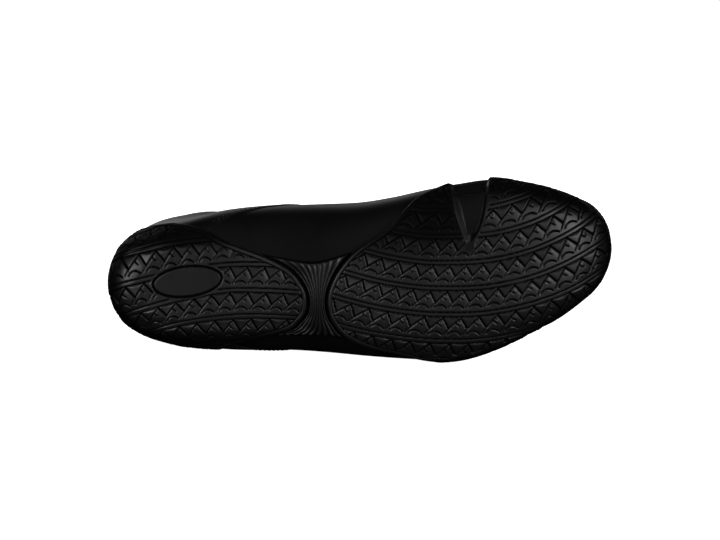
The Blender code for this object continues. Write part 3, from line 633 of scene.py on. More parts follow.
def pad(name, border, rim, cell, tread, carve, finish, under):
    """Tread pad: offset of the last by its height less the tread, closed by a coarse back sheet.

    The tread is its band lines and teeth, and under is the step that it lies on. From station, girth, place,
    height, depth and lines, carve works out depth and dullness, with painted shade and a painted highlight.
    Rows that run to the toe turn the faces inwards, so these are turned round.
    """
    station, girth, share, across, stop = pad_places(border, rim, cell)
    height, place, from_border, from_edge = pad_height(station, girth, share, across, stop, border, rim)
    slopes, lines = tread_depth(station, place, *tread)
    inside = ramp(RIM_WIDE - RIM_BLEND, RIM_WIDE + RIM_BLEND, from_border) * ramp(*EDGE_CLEAR, from_edge)
    lines = np.maximum(lines * inside, groove(np.abs(from_border - RIM_WIDE), RIM_LINE_HALF, RIM_LINE_DEEP))
    base = under(station, girth)
    depth, matte = carve(station, girth, place, height, slopes * inside, lines)
    out = normal(station, girth)
    # Steep sides of the pad are dulled and painted darker: painted shade.
    side = ramp(*RIM_STEEP_SHADE, out[..., 2])
    matte = np.where(side > 0.0, np.maximum(matte, side), matte)
    top = offset(station, girth, base + height)
    top[..., 2] = np.maximum(top[..., 2], 0.0)
    top = top - out * depth[..., None]
    coarse = (slice(None, None, BACK_STEP), slice(None, None, BACK_STEP))
    back = offset(station[coarse], girth[coarse], base[coarse] - BACK_SINK)
    index = np.arange(station.size).reshape(station.shape)
    hidden = station.size + np.arange(back[..., 0].size).reshape(back.shape[:2])
    faces = grid_faces(*index.shape).tolist() + grid_faces(*hidden.shape, index.size)[:, ::-1].tolist()
    ahead, reverse = slice(None), slice(None, None, -1)
    for line in ((0, ahead), (ahead, -1), (-1, reverse), (reverse, 0)):
        rim_line, back_line = index[line], hidden[line]
        for step in range(len(back_line) - 1):
            fine = rim_line[step * BACK_STEP:(step + 1) * BACK_STEP + 1].tolist()
            faces.append(fine[::-1] + [int(back_line[step]), int(back_line[step + 1])])
    if rim["middle"] > border[0, 1]:
        faces = [face[::-1] for face in faces]
    points = np.concatenate([top.reshape(-1, 3), back.reshape(-1, 3)])
    dull_and_painted_light = np.concatenate([matte.ravel(), np.ones(hidden.size)])
    return piece(name, points, faces, [finish], name, matte=dull_and_painted_light)


def carve_heel(station, girth, place, _, depth, lines):
    """Depth, dullness and painted shade of the heel pad: the tread stops at the margin of the oval plate,
    grooved round.
    """
    turn = math.radians(PLATE["turn"])
    along = station - PLATE["along"]
    across = place - PLATE["across"]
    long_way = along * math.cos(turn) + across * math.sin(turn)
    wide_way = across * math.cos(turn) - along * math.sin(turn)
    ring = np.hypot(long_way / PLATE["half_long"], wide_way / PLATE["half_wide"])
    slope = np.hypot(long_way / PLATE["half_long"] ** 2, wide_way / PLATE["half_wide"] ** 2)
    slope = slope / np.maximum(ring, 1e-6)
    from_ring = (ring - 1.0) / np.maximum(slope, 1e-6)
    tread = ramp(PLATE_MARGIN - PLATE_BLEND, PLATE_MARGIN + PLATE_BLEND, from_ring)
    plate = ramp(*PLATE_EDGE, from_ring)
    lines = np.maximum(lines * tread, groove(np.abs(from_ring), PLATE_LINE_HALF, PLATE_LINE_DEEP))
    # Cut lines are dulled and painted darker by their depth: painted shade in the grooves.
    matte = np.maximum(np.clip(lines / FULL_MATTE_AND_SHADE, 0.0, 1.0), PLATE_MATTE * plate)
    # The inner side by the waist, the outer side and the back are dulled and painted darker: painted shade.
    matte = np.maximum(matte, HEEL_DULL_AND_SHADE["share"] * np.maximum.reduce([
        ramp(*HEEL_DULL_AND_SHADE["inner"], girth) * ramp(*HEEL_DULL_AND_SHADE["waist"], station),
        ramp(*HEEL_DULL_AND_SHADE["outer"], girth), ramp(*HEEL_DULL_AND_SHADE["back"], station)]))
    return np.maximum(depth * tread, PLATE_SUNK * plate) + lines, matte


def carve_fore(station, girth, _, height, depth, lines):
    """Depth, dullness, painted shade and painted highlight of the forefoot pad: a notch, slanted most behind,
    whose floor ends at the upper.
    """
    rear = smooth(NOTCH, girth)
    front = smooth(NOTCH, girth, 2)
    full = ramp(NOTCH[0, 0], NOTCH_FULL_SLANT, girth)
    spread = NOTCH_REAR_SLANT * (NOTCH_TIP_SLANT + (1.0 - NOTCH_TIP_SLANT) * full)
    behind = station - rear + 0.5 * spread
    ahead = front - station + 0.5 * NOTCH_FRONT_SLANT
    tip = (girth - NOTCH[0, 0]) * NOTCH_TIP_RISE
    cut = ramp(0.0, spread, behind) * ramp(0.0, NOTCH_FRONT_SLANT, ahead) * ramp(0.0, 1.0, tip)
    clear = ramp(*NOTCH_CLEAR, np.minimum(np.minimum(behind, ahead), tip))
    beside = ramp(NOTCH_FLOOR_END, NOTCH_FLOOR_END + NOTCH_FLOOR_BLEND, girth)
    floor = NOTCH_FLOOR + (NOTCH_SIDE_FLOOR - NOTCH_FLOOR) * beside
    lines = lines * (1.0 - clear)
    behind_notch = station < 0.5 * (rear + front)
    # Cut lines are dulled and painted darker by their depth, as are the edges round the cut: painted shade.
    matte = np.maximum(np.clip(lines / FULL_MATTE_AND_SHADE, 0.0, 1.0), NOTCH_EDGE_DULL_SHADE * clear)
    # The inner side, more of it behind the notch, and the outer side are dulled and painted darker: painted
    # shade.
    side = np.where(behind_notch, ramp(*FORE_DULL_AND_SHADE["inner"], girth), ramp(*FORE_DULL_AND_SHADE["toe"], girth))
    dull_and_painted_light = FORE_DULL_AND_SHADE["share"] * np.maximum(side, ramp(*FORE_DULL_AND_SHADE["outer"], girth))
    matte = np.maximum(matte, dull_and_painted_light)
    # The notch is dulled and painted darker: painted shade in the cut.
    matte = matte + (NOTCH_DULL_SHADE - matte) * ramp(0.0, NOTCH_SHADE_BLEND, cut)
    # Pale painted highlight on the notch's rear wall, weaker towards the inner side.
    painted_highlight = np.where(behind_notch, np.minimum(NOTCH_HIGHLIGHT_SPREAD * cut * (1.0 - cut), 1.0), 0.0)
    painted_highlight = painted_highlight * (NOTCH_HIGHLIGHT_LEAST + (1.0 - NOTCH_HIGHLIGHT_LEAST) * ramp(*NOTCH_HIGHLIGHT_FADE, girth))
    matte = matte - (matte + painted_highlight) * painted_highlight
    return depth * (1.0 - clear) + lines + np.maximum(height - floor, 0.0) * cut, matte


def walled(name, outer, inner, faces, finishes, node, uv=None, matte=None):
    """Closed piece between two sheets with the same faces: equal places welded, a wall along each free edge.

    The outer sheet and the walls have the first finish, the inner sheet the last one. The faces are given as
    seen from inside.
    """
    outer = outer.reshape(-1, 3)
    inner = inner.reshape(-1, 3)
    places = np.round(outer, WELD_DECIMALS)
    _, first, weld = np.unique(places, axis=0, return_index=True, return_inverse=True)
    weld = weld.reshape(-1)
    count = len(first)
    sheet = []
    edges = set()
    for face in weld[faces][:, ::-1].tolist():
        ring = [corner for step, corner in enumerate(face) if corner != face[step - 1]]
        if len(set(ring)) < 3:
            continue
        sheet.append(ring)
        edges.update(zip(ring, ring[1:] + ring[:1]))
    walls = [(end, start, start + count, end + count) for start, end in edges if (end, start) not in edges]
    back = [[corner + count for corner in reversed(ring)] for ring in sheet]
    points = np.concatenate([outer[first], inner[first]])
    if uv is not None:
        uv = np.concatenate([uv.reshape(-1, 2)[first]] * 2)
    if matte is not None:
        matte = np.concatenate([matte.ravel()[first], np.ones(count)])
    thing = piece(name, points, sheet + walls + back, finishes, node, uv, matte)
    kinds = np.zeros(len(thing.data.polygons), np.int32)
    kinds[len(sheet) + len(walls):] = len(finishes) - 1
    thing.data.polygons.foreach_set("material_index", kinds)
    return thing


def waist_web(finish):
    """Ribbed web between the pads: lines of equal share between the two borders rise and fall as ribs.

    A valley lies below the crests by a share of the ribs' pitch there. Ribs end at a plain band along the
    inner edge. Valleys are dulled and painted darker as painted shade, widest and darkest at the outer edge;
    crests away from that edge carry a pale painted highlight, and a line of painted shade runs along the
    inner edge.
    """
    ribs = np.linspace(0.0, 1.0, WEB_RIBS * WEB_RIB_ROWS + 1)[:, None]
    bow = 4.0 * ribs * (1.0 - ribs)
    way = np.linspace(0.0, 1.0, WEB_COLUMNS)[None, :]
    girth = WEB_OUTER + (WEB_INNER - WEB_INNER_BOW * bow - WEB_OUTER) * way
    rear = smooth(HEEL_BORDER, girth) + WEB_GROOVE
    front = smooth(FORE_BORDER, girth) - WEB_GROOVE
    station = rear + (front - rear) * ribs
    crest = 0.5 - 0.5 * np.cos(2.0 * math.pi * WEB_RIBS * ribs)
    edge = ramp(0.0, WEB_ENDS[0], np.minimum(way, 1.0 - way))
    edge = edge * ramp(0.0, WEB_ENDS[1], np.minimum(ribs, 1.0 - ribs))
    pitch = (front - rear) / WEB_RIBS
    ribbed = ramp(1.0, WEB_PLAIN, way)
    height = (WEB_HIGH - WEB_STEEP * pitch * (1.0 - crest) * ribbed) * edge
    top = offset(station, girth, height)
    back = offset(station, girth, -WEB_SINK)
    fair = ramp(0.0, WEB_SHADE_SPAN, way)
    # Painted shade in the valleys, deepest at the outer edge, and a painted highlight on the crests
    valley = ((1.0 - crest) ** (1.0 + WEB_SHARP * fair) - WEB_CREST_HIGHLIGHT * crest * fair) * ribbed
    # A line of painted shade along the inner edge
    valley = np.maximum(valley, ramp(WEB_SHADE_LINE, 0.5 * WEB_SHADE_LINE, 1.0 - way))
    return walled("outsole_waist", top, back, grid_faces(*station.shape), [finish],
                  "outsole_waist", matte=valley)


def top_girth(station, distance, side):
    """Girth at a distance along the surface from the top line, inner side 1 or outer side -1."""
    station, distance = np.broadcast_arrays(np.asarray(station, float), np.asarray(distance, float))
    places = last(station[..., None], side * TOP_REACH)
    steps = np.linalg.norm(np.diff(places, axis=-2), axis=-1)
    run = np.concatenate([np.zeros_like(steps[..., :1]), steps.cumsum(axis=-1)], axis=-1)
    past = np.clip((run <= distance[..., None]).sum(axis=-1), 1, len(TOP_REACH) - 1)
    start = np.take_along_axis(run, past[..., None] - 1, axis=-1)[..., 0]
    step = np.take_along_axis(steps, past[..., None] - 1, axis=-1)[..., 0]
    share = np.clip((distance - start) / np.maximum(step, 1e-9), 0.0, 1.0)
    return TOP_REACH[0] + (past - 1 + share) * (TOP_REACH[1] - TOP_REACH[0])


def over_top(station, across):
    """Girth at a signed distance from the top line, plus towards the inner side."""
    inner = top_girth(station, np.abs(across), 1)
    outer = top_girth(station, np.abs(across), -1)
    return np.where(across >= 0.0, inner, -outer)


def crease_depth(points):
    """Sum over the creases of a trough with a low ridge on each side, faded out towards the crease's ends.

    Across a crease the depth is one less half the squared share of its half width, times the bell of that.
    """
    depth = np.zeros(points.shape[:-1])
    for half, deep, places in CREASES:
        station, girth = np.array(places, float).T
        away, along = near_path(points, last(station, girth))
        bell = (away / half) ** 2 / 2
        fade = ramp(0.0, CREASE_FADE, np.minimum(along, 1.0 - along))
        depth = depth + deep * (1.0 - bell) * np.exp(-bell) * fade
    return depth


def upper_places(side):
    """Rows, stations and girths of one side of the upper, in columns from the under opening to the lip.

    The rows near the counter are drawn onto its seam. A girth depends on its station and the seam's station
    on the girth, so the two are worked out in turn.
    """
    rows = np.arange(COLLAR, TOE_POLE, UPPER_CELL)
    base = np.unique(np.concatenate([rows, [TOE_POLE], SEAM_ROW + SEAM_LINES]))[:, None]
    pull = straight(SEAM_PULL, base)
    station = np.repeat(base, UPPER_COLUMNS + len(STAY_LINES), axis=1)
    girth = station
    share = np.arange(UPPER_COLUMNS) / UPPER_COLUMNS
    for _ in range(SEAM_ROUNDS):
        under = np.abs(straight(UNDER_OPENING, station[:, :UPPER_COLUMNS], 2 if side > 0 else 1))
        throat = straight(THROAT, station[:, UPPER_COLUMNS:])
        stay = top_girth(station[:, UPPER_COLUMNS:], throat + STAY_LINES, side)
        girth = np.concatenate([under + (stay[:, :1] - under) * share, stay], axis=1)
        seam = straight(COUNTER_SEAM, girth)
        station = base + (seam - SEAM_ROW) * pull
    return base, station, girth


def upper(leather, lining):
    """Hollow upper: offset of the last by the counter, the eyestay and the creases, with a lining inside."""
    sheets, backs, faces, maps = [], [], [], []
    count = 0
    for side in (1, -1):
        base, station, reach = upper_places(side)
        girth = side * reach
        from_lip = np.concatenate([np.full(UPPER_COLUMNS, STAY_LINES[0]), STAY_LINES])[None, :]
        counter = counter_rise(station, girth) * ramp(STEP_HALF, -STEP_HALF, base - SEAM_ROW)
        stay = ramp(STEP_HALF, -STEP_HALF, from_lip - EYESTAY_WIDE)
        stay = stay * ramp(EYESTAY_FRONT, EYESTAY_FRONT - STAY_FADE, station)
        rim = ramp(*BINDING_REACH, station - COLLAR)
        rise = np.maximum(counter, EYESTAY_RISE * stay)
        rise = rise - crease_depth(last(station, girth)) * (1.0 - STAY_STIFF * stay) - BINDING_SINK * rim
        lip = ramp(LIP_WIDE, 0.0, from_lip) * ramp(THROAT_FRONT, THROAT_FRONT - LIP_FADE, station)
        sheets.append(offset(station, girth, rise - LIP_ROUND * lip).reshape(-1, 3))
        backs.append(offset(station, girth, LIP_ROUND_INSIDE * lip - WALL).reshape(-1, 3))
        quads = grid_faces(*station.shape, first=count)
        faces.append(quads if side > 0 else quads[:, ::-1])
        maps.append(np.stack([station, arc_across(station, girth)], axis=-1).reshape(-1, 2))
        count += station.size
    return walled("upper", np.concatenate(sheets), np.concatenate(backs), np.concatenate(faces),
                  [leather, lining], "upper", np.concatenate(maps))


def collar_girths(inset, count):
    """Girths round the collar from the inner lip to the outer one, both inset along the surface."""
    inner, outer = (float(top_girth(COLLAR, THROAT[0, 1] + inset, side)) for side in (1, -1))
    return np.linspace(inner, -outer, count)


def collar_binding(finish):
    """Strip folded over the collar's rim: its profile swept round the rim from one lip to the other."""
    down, out = BINDING.T
    station, girth = np.broadcast_arrays(COLLAR + down, collar_girths(0.0, BINDING_STEPS)[:, None])
    strip = offset(station, girth, out)
    quads, caps = tube_faces(*girth.shape)
    cloth = np.stack(np.meshgrid(run_along(strip[:, 0]), run_along(BINDING), indexing="ij"), axis=-1)
    return piece("collar_binding", strip, quads + caps, [finish], "upper", cloth)


def insole(finish):
    """Sock inside the upper: two offsets of the last between the stations of its ends."""
    along = np.linspace(INSOLE_SPAN[0, 0], INSOLE_SPAN[-1, 0], INSOLE_GRID[0])[:, None]
    span = smooth(INSOLE_SPAN, along)
    girth = span * np.linspace(-1.0, 1.0, INSOLE_GRID[1])[None, :]
    station = np.broadcast_to(along, girth.shape)
    top = offset(station, girth, -WALL - INNER_GAP - INSOLE_THICK)
    under = offset(station, girth, -WALL - INNER_GAP)
    cloth = np.stack([station, arc_across(station, girth)], axis=-1)
    return walled("insole", under, top, grid_faces(*girth.shape), [finish], "insole", cloth)


def tongue(finish):
    """Padded tongue: thickness falls by a quarter circle at its edges, with a stitched line inside them."""
    front, tip = TONGUE_ENDS
    along = np.linspace(front, tip, TONGUE_GRID[0])[:, None]
    half = straight(TONGUE, along)
    across = half * np.linspace(-1.0, 1.0, TONGUE_GRID[1])[None, :]
    station = np.broadcast_to(along, across.shape)
    girth = over_top(station, across)
    from_edge = np.minimum(half - np.abs(across), np.minimum(front - station, station - tip))
    short = 1.0 - np.clip(from_edge / TONGUE_ROUND, 0.0, 1.0)
    full = TONGUE_THICK / 2 * np.sqrt(1.0 - TONGUE_FALL * short * short)
    full = full - groove(np.abs(from_edge - TONGUE_LINE["inset"]), TONGUE_LINE["half"], TONGUE_LINE["deep"])
    middle = -WALL - TONGUE_GAP - TONGUE_THICK / 2
    cloth = np.stack([station, across], axis=-1)
    return walled("tongue", offset(station, girth, middle + full), offset(station, girth, middle - full),
                  grid_faces(*girth.shape), [finish], "tongue", cloth)


def eyelet_stations():
    """Stations of the eyelet rows, evenly spaced along the top line."""
    station = np.linspace(EYELET_FIRST, EYELET_LAST, SAMPLES)
    row = section(station)
    run = run_along(np.stack([row["top_x"], row["top_z"]], axis=-1))
    return np.interp(np.linspace(0.0, run[-1], EYELET_ROWS), run, station)


def surface_axes(along, out):
    """Three directions at a place of the surface: along it, aside of that, and outwards."""
    along = unit(along - out * (along * out).sum(axis=-1, keepdims=True))
    return np.stack([along, np.cross(out, along), out], axis=-2)


def eyelets(finish):
    """Pressed rings: a flange profile turned about the eyestay's outward direction at each eyelet."""
    turns = np.linspace(0.0, 2.0 * math.pi, EYELET_TURNS, endpoint=False)
    radius = EYELET_PROFILE[:, :1]
    shell = np.stack([radius * np.cos(turns), radius * np.sin(turns),
                      EYELET_PROFILE[:, 1:] + EYESTAY_RISE + 0.0 * turns], axis=-1).reshape(-1, 3)
    points, faces = [], []
    for side in (1, -1):
        for row in eyelet_stations():
            girth = side * top_girth(row, straight(THROAT, row) + EYELET_IN, side)
            along = last(row + DIRECTION_STEP, girth) - last(row - DIRECTION_STEP, girth)
            axes = surface_axes(along, normal(row, girth))
            faces += tube_faces(len(EYELET_PROFILE), EYELET_TURNS, len(points) * len(shell))[0]
            points.append(last(row, girth) + shell @ axes)
    return piece("eyelets", np.concatenate(points), faces, [finish], "upper")


def lace_run(station, across, height, widths):
    """Flat tape along a path over the top line, with superellipse sections: its points and its map in mm."""
    turns = np.linspace(2.0 * math.pi, 0.0, LACE_GRID[1], endpoint=False)
    girth = over_top(station, across)
    path = offset(station, girth, height)
    along = unit(np.gradient(path, axis=0))
    aside = unit(np.cross(along, normal(station, girth)))
    upwards = np.cross(aside, along)
    wide, thick = (np.sign(wave) * np.abs(wave) ** power
                   for wave, power in zip((np.cos(turns), np.sin(turns)), LACE_SQUARE))
    body = widths[:, None, None] * wide[None, :, None] * aside[:, None, :]
    body = body + LACE_HALF_THICK * thick[None, :, None] * upwards[:, None, :]
    cloth = np.stack(np.broadcast_arrays(run_along(path)[:, None], widths[:, None] * wide), axis=-1)
    return (path[:, None, :] + body).reshape(-1, 3), cloth.reshape(-1, 2)


def laces(finish):
    """Bar over the lowest eyelets, then two strands a row.

    Each strand leaves from under a lip, crosses over or under the other and dives into an eyelet.
    """
    rows = eyelet_stations()
    throats = straight(THROAT, rows)
    top = EYESTAY_RISE + LACE_HALF_THICK + LACE_OVER
    under = -WALL - LACE_UNDER
    share = np.linspace(0.0, 1.0, LACE_GRID[0])
    dive = LACE_DIVE * ramp(*LACE_DIVE_SPAN, share)
    narrow = LACE_NARROW * ramp(*LACE_NARROW_SPAN, share)
    runs = [lace_run(np.full(share.shape, rows[0]), (throats[0] + EYELET_IN) * (1.0 - 2.0 * share),
                     top - np.maximum(dive, dive[::-1]),
                     LACE_WIDE / 2 * (1.0 - np.maximum(narrow, narrow[::-1])))]
    for row in range(EYELET_ROWS - 1):
        station = rows[row] + (rows[row + 1] - rows[row]) * share
        throat = straight(THROAT, station)
        start = throats[row] + LACE_TUCK
        end = throats[row + 1] + EYELET_IN
        for side in (1.0, -1.0):
            across = side * (start - (end + start) * share)
            over = ramp(throat * LACE_LIP[0], throat * LACE_LIP[1], side * across)
            crossing = LACE_CROSS * side * ramp(LACE_CROSS_SPAN * throat, 0.0, np.abs(across))
            height = under + (top - under) * over + crossing - dive
            runs.append(lace_run(station, across, height, LACE_WIDE / 2 * (1.0 - narrow)))
    points, cloths = zip(*runs)
    faces = []
    for number, body in enumerate(points):
        quads, caps = tube_faces(*LACE_GRID, number * len(body))
        faces += quads + caps
    return piece("laces", np.concatenate(points), faces, [finish], "laces",
                 np.concatenate(cloths))


def seam_paths():
    """Lines that are stitched, as stations, girths and heights: eyestays, counter and collar binding."""
    station = np.linspace(*STAY_SEAM, SEAM_SAMPLES)
    throat = straight(THROAT, station)
    reach = np.linspace(*SEAM_REACH, COUNTER_SAMPLES)
    for side in (1, -1):
        for inset in (EYESTAY_WIDE - SEAM_INSETS[0], EYESTAY_WIDE - SEAM_INSETS[1], LIP_INSET):
            yield station, side * top_girth(station, throat + inset, side), EYESTAY_RISE
        for behind in SEAM_INSETS:
            line = straight(COUNTER_SEAM, reach) - behind
            yield line, side * reach, counter_rise(line, side * reach)
    girth = collar_girths(COLLAR_SEAM_INSET, SEAM_SAMPLES)
    yield np.full(girth.shape, COLLAR_SEAM), girth, 0.0


def stitches(finish):
    """Short rounded threads at an even pitch along the stitched lines, each a low half-round spindle."""
    turns = np.linspace(0.0, math.pi, len(STITCH_SLICES))
    full = STITCH_SLICES[:, 1:]
    shell = np.stack([STITCH_SLICES[:, :1] * STITCH_LONG + 0.0 * turns, full * STITCH_HALF * np.cos(turns),
                      full * (STITCH_RISE + STITCH_SINK) * np.sin(turns) - STITCH_SINK], axis=-1)
    shell = shell.reshape(-1, 3)
    quads = grid_faces(len(STITCH_SLICES), len(turns))
    points, cloths = [], []
    for station, girth, height in seam_paths():
        line = offset(station, girth, height - crease_depth(last(station, girth)))
        run = run_along(line)
        at = np.arange(STITCH_PITCH / 2, run[-1], STITCH_PITCH)
        before, middle, after = (np.stack([np.interp(place, run, values) for values in line.T], axis=-1)
                                 for place in (at - DIRECTION_STEP, at, at + DIRECTION_STEP))
        axes = surface_axes(after - before, normal(np.interp(at, run, station), np.interp(at, run, girth)))
        points.append((middle[:, None, :] + shell @ axes).reshape(-1, 3))
        cloths.append((shell[:, :2] + np.stack([at, 0.0 * at], axis=-1)[:, None, :]).reshape(-1, 2))
    points = np.concatenate(points)
    starts = np.arange(0, len(points), len(shell))
    faces = (quads + starts[:, None, None]).reshape(-1, 4).tolist()
    return piece("stitches", points, faces, [finish], "upper", np.concatenate(cloths))


class Wire:
    """Socket of a material's node tree. Arithmetic on it adds Math nodes; node() adds any other node."""

    def __init__(self, tree, socket=None):
        self.tree = tree
        self.socket = socket

    def node(self, kind, settings=None, sockets=None, out=0):
        """Add a node: its settings first, then its sockets' values or links; the result is one output."""
        made = self.tree.nodes.new(kind)
        for name, value in (settings or {}).items():
            if name == "stops":
                ramp_stops = made.color_ramp.elements
                while len(ramp_stops) < len(value):
                    ramp_stops.new(1.0)
                for stop, (place, colour) in zip(ramp_stops, value):
                    stop.position = place
                    stop.color = (*colour, 1.0)
            else:
                setattr(made, name, value)
        for name, value in (sockets or {}).items():
            if isinstance(value, Wire):
                self.tree.links.new(value.socket, made.inputs[name])
            else:
                made.inputs[name].default_value = value
        return Wire(self.tree, made.outputs[out])

    def math(self, operation, first, second=0.0):
        return self.node("ShaderNodeMath", {"operation": operation}, {0: first, 1: second})

    def __add__(self, other):
        return self.math("ADD", self, other)

    def __mul__(self, other):
        return self.math("MULTIPLY", self, other)

    def __rsub__(self, other):
        return self.math("SUBTRACT", other, self)

    __radd__ = __add__

    def attribute(self, name):
        return self.node("ShaderNodeAttribute", {"attribute_name": name}, out="Fac")

    def clamp(self, value):
        return self.node("ShaderNodeClamp", {}, {"Value": value}, "Result")

    def noise(self, where, scale, detail):
        return self.node("ShaderNodeTexNoise", {}, {"Vector": where, "Scale": scale, "Detail": detail})

    def shade(self, factor, *stops):
        """Colour ramp over stops, each a place and a colour."""
        return self.node("ShaderNodeValToRGB", {"stops": stops}, {"Fac": factor})

    def mix(self, factor, first, second):
        """Mix of two colours, whose sockets are known by their numbers."""
        return self.node("ShaderNodeMix", {"data_type": "RGBA"}, {"Factor": factor, 6: first, 7: second}, 2)

    def bump(self, height, strength, distance):
        return self.node("ShaderNodeBump", {},
                         {"Strength": strength, "Distance": distance, "Height": height}, "Normal")


def finish_of(name, fixed, varying):
    """Principled material: fixed socket values, and the sockets that varying(start) wires up."""
    material = bpy.data.materials.new(name)
    material.use_nodes = True
    tree = material.node_tree
    shader = tree.nodes["Principled BSDF"]
    for socket, value in fixed.items():
        shader.inputs[socket].default_value = value
    for socket, wire in varying(Wire(tree)).items():
        tree.links.new(wire.socket, shader.inputs[socket])
    return material


# Near black that dulled parts of the rubber are drawn towards: painted shade
PAINTED_SHADE_BLACK = (0.0010, 0.0010, 0.0010, 1.0)
# Pale grey of the painted highlight on the notch's rear wall and the web's crests
PAINTED_HIGHLIGHT_GREY = (0.040, 0.040, 0.041, 1.0)
COAT_LEAST = 0.65


def rubber_wires(start):
    """Moulded rubber: fine grain, cloudy wear in colour and gloss, dulled grooves, painted shade and
    highlight.
    """
    where = start.node("ShaderNodeTexCoord", out="Object")
    mark = start.attribute("matte")
    matte = start.clamp(mark)
    # Below nought the mark is a painted highlight, mixed towards pale grey.
    painted_highlight = start.clamp(mark * -1.0)
    cloud = start.noise(where, scale=45.0, detail=4.0)
    grain = start.noise(where, scale=1900.0, detail=3.0)
    shade = start.shade(cloud, (0.3, (0.0035, 0.0035, 0.0038)), (0.7, (0.0065, 0.0065, 0.0068)))
    # Dulled parts are drawn towards near black: painted shade.
    dark = start.mix(matte * 0.8, shade, PAINTED_SHADE_BLACK)
    coat = (COAT_LEAST + cloud * (1.0 - COAT_LEAST)) * (1.0 - matte) * (1.0 - painted_highlight * 0.9)
    return {"Base Color": start.mix(painted_highlight, dark, PAINTED_HIGHLIGHT_GREY), "Roughness": 0.5 + grain * 0.1 + matte * 0.3,
            "Coat Weight": coat, "Normal": start.bump(grain, strength=0.16, distance=0.0003)}


def leather_wires(start):
    """Coated leather: pebbled grain from cell borders, fine pores, and cloudy wear in the gloss."""
    where = start.node("ShaderNodeTexCoord", out="Object")
    cloud = start.noise(where, scale=28.0, detail=4.0)
    cells = start.node("ShaderNodeTexVoronoi", {"feature": "DISTANCE_TO_EDGE"},
                       {"Vector": where, "Scale": 720.0, "Randomness": 1.0}, "Distance")
    pores = start.noise(where, scale=2600.0, detail=2.0)
    shade = start.shade(cloud, (0.3, (0.0022, 0.0022, 0.0025)), (0.7, (0.0046, 0.0046, 0.0050)))
    return {"Base Color": shade, "Roughness": 0.44 + cloud * 0.18 + pores * 0.06,
            "Normal": start.bump(cells * 0.8 + pores * 0.3, strength=0.22, distance=0.0002)}


def cloth_wires(start, pitch, dark, light):
    """Plain weave on the piece's own map in millimetres: the product of two waves, with fibre noise."""
    where = start.node("ShaderNodeUVMap", {"uv_map": "cloth"})
    ways = start.node("ShaderNodeSeparateXYZ", {}, {"Vector": where}).socket.node.outputs
    warp, weft = (start.math("SINE", Wire(start.tree, ways[axis]) * (2.0 * math.pi / pitch)) for axis in "XY")
    weave = warp * weft * 0.5 + 0.5
    fibre = start.noise(where, scale=3.0, detail=3.0)
    return {"Base Color": start.shade(weave * 0.6 + fibre * 0.4, (0.2, dark), (0.8, light)),
            "Roughness": 0.75 + fibre * 0.15,
            "Normal": start.bump(weave + fibre * 0.3, strength=0.5, distance=0.0003)}


def metal_wires(start):
    """Blackened metal: faint streaks of wear in colour and gloss."""
    where = start.node("ShaderNodeTexCoord", out="Object")
    wear = start.noise(where, scale=400.0, detail=4.0)
    shade = start.shade(wear, (0.35, (0.010, 0.010, 0.011)), (0.75, (0.040, 0.040, 0.042)))
    return {"Base Color": shade, "Roughness": 0.25 + wear * 0.2}


rubber = finish_of("sole rubber", {"Specular IOR Level": 0.03, "Coat Roughness": 0.40, "Coat IOR": 1.54},
                   rubber_wires)

pad("outsole_heel", HEEL_BORDER, HEEL_RIM, HEEL_CELL, (HEEL_ROWS, HEEL_TEETH), carve_heel, rubber,
    lambda station, girth: counter_rise(station, girth, lead=COUNTER_BLEND))
pad("outsole_forefoot", FORE_BORDER, FORE_RIM, FORE_CELL, (FORE_ROWS, FORE_TEETH), carve_fore, rubber,
    lambda station, girth: np.zeros(np.shape(station)))
waist_web(rubber)

leather = finish_of("upper leather", {"Specular IOR Level": 0.08}, leather_wires)
lining = finish_of("lining cloth", {"Specular IOR Level": 0.2},
                   lambda start: cloth_wires(start, 1.1, (0.006, 0.006, 0.007), (0.020, 0.020, 0.021)))
cord = finish_of("lace cord", {"Specular IOR Level": 0.25},
                 lambda start: cloth_wires(start, 0.9, (0.005, 0.005, 0.006), (0.022, 0.022, 0.024)))
black_metal = finish_of("eyelet metal", {"Metallic": 1.0}, metal_wires)

upper(leather, lining)
collar_binding(lining)
insole(lining)
tongue(lining)
eyelets(black_metal)
laces(cord)
stitches(cord)


# Camera: aim on the sole in shoe millimetres, lean towards the inner side and roll in the picture in degrees,
# distance in metres, and lens and sensor
AIM = np.array([142.5, -2.0, 0.0])
CAMERA_LEAN = 4.0
CAMERA_ROLL = 2.1
CAMERA_AWAY = 1.5
CAMERA_LENS = 134.7
CAMERA_SENSOR = 36.0


def aim_camera():
    """Camera that looks at the sole, leaning to the inner side, with the toe turned up in the picture."""
    lean = math.radians(CAMERA_LEAN)
    roll = math.radians(CAMERA_ROLL)
    inwards = np.array([0.0, -math.cos(lean), math.sin(lean)])
    towards = np.array([0.0, -math.sin(lean), -math.cos(lean)])
    forward = np.array([1.0, 0.0, 0.0])
    right = forward * math.cos(roll) - inwards * math.sin(roll)
    up = forward * math.sin(roll) + inwards * math.cos(roll)
    zero = to_world(np.zeros(3))
    axes = np.stack([to_world(axis / MM) - zero for axis in (right, up, towards)], axis=-1)
    place = to_world(AIM) + axes[:, 2] * CAMERA_AWAY
    data = bpy.data.cameras.new("camera")
    data.lens = CAMERA_LENS
    data.sensor_width = CAMERA_SENSOR
    camera = bpy.data.objects.new("camera", data)
    bpy.context.scene.collection.objects.link(camera)
    camera.matrix_world = Matrix.Translation(Vector(place)) @ Matrix(axes).to_4x4()
    bpy.context.scene.camera = camera


# Floor and backdrop in metres: front edge, start and radius of the bend, height and half width, then the
# points of the bend and the glow of the floor and of the world
FLOOR_FRONT = -4.0
FLOOR_BEND = 3.0
FLOOR_RADIUS = 1.5
FLOOR_HIGH = 5.0
FLOOR_HALF = 6.0
FLOOR_POINTS = 17
FLOOR_GLOW = 1.0
WORLD_GLOW = 0.015

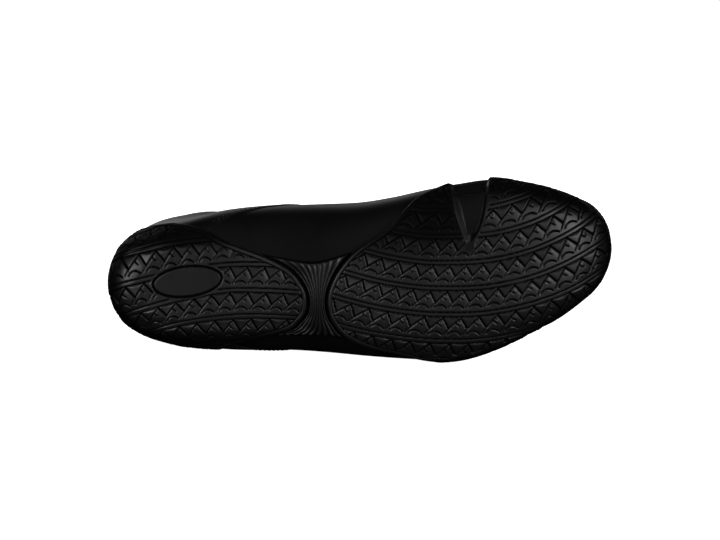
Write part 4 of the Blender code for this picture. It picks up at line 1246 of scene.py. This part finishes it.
# Area lights: place and aim in metres, width, height and watts
LIGHTS = {
    "camera light": ((0.0, -1.7, 0.2), (0.0, 0.0, 0.05), 1.0, 0.8, 0.6),
    "toe light": ((0.66, -0.85, 0.30), (0.08, 0.0, 0.05), 0.42, 0.40, 4.0),
    "heel light": ((-0.70, -0.85, 0.27), (-0.08, 0.0, 0.05), 0.40, 0.36, 4.5),
    "back light": ((-0.8, 1.6, 1.5), (0.0, 0.0, 0.05), 1.4, 1.0, 20.0),
    "back toe light": ((1.0, 1.8, 0.5), (0.0, 0.0, 0.05), 0.5, 0.8, 14.0),
    "back heel light": ((-1.0, 1.8, 0.5), (0.0, 0.0, 0.05), 0.5, 0.8, 14.0),
}


def sweep_floor():
    """Pale floor that lends the shoe no light, with a quarter-round rise into a backdrop.

    One profile along Y is drawn out along X.
    """
    bend = [(FLOOR_BEND + FLOOR_RADIUS * math.sin(turn), FLOOR_RADIUS - FLOOR_RADIUS * math.cos(turn))
            for turn in np.linspace(0.0, math.pi / 2, FLOOR_POINTS)]
    profile = [(FLOOR_FRONT, 0.0)] + bend + [(FLOOR_BEND + FLOOR_RADIUS, FLOOR_HIGH)]
    points = [(x, y, z) for y, z in profile for x in (-FLOOR_HALF, FLOOR_HALF)]
    mesh = bpy.data.meshes.new("floor")
    mesh.from_pydata(points, [], grid_faces(len(profile), 2)[:, ::-1].tolist())
    mesh.shade_smooth()
    mesh.materials.append(finish_of("pale floor", {"Base Color": (0.9, 0.9, 0.9, 1.0), "Roughness": 0.9,
                                                   "Specular IOR Level": 0.0,
                                                   "Emission Color": (1.0, 1.0, 1.0, 1.0),
                                                   "Emission Strength": FLOOR_GLOW}, lambda start: {}))
    floor = bpy.data.objects.new("floor", mesh)
    floor.visible_diffuse = False
    floor.visible_glossy = False
    bpy.context.scene.collection.objects.link(floor)


def soft_box(name, place, aim, wide, high, watts):
    """Area light at a place in metres, turned to its aim, with its width, height and watts."""
    data = bpy.data.lights.new(name, "AREA")
    data.shape = "RECTANGLE"
    data.size = wide
    data.size_y = high
    data.energy = watts
    light = bpy.data.objects.new(name, data)
    light.location = place
    light.rotation_euler = (Vector(aim) - Vector(place)).to_track_quat("-Z", "Y").to_euler()
    bpy.context.scene.collection.objects.link(light)


aim_camera()
sweep_floor()
for light_name, light_row in LIGHTS.items():
    soft_box(light_name, *light_row)

bpy.context.scene.view_settings.view_transform = "Standard"
world = bpy.context.scene.world or bpy.data.worlds.new("world")
bpy.context.scene.world = world
world.use_nodes = True
background = world.node_tree.nodes["Background"]
background.inputs["Color"].default_value = (1.0, 1.0, 1.0, 1.0)
background.inputs["Strength"].default_value = WORLD_GLOW
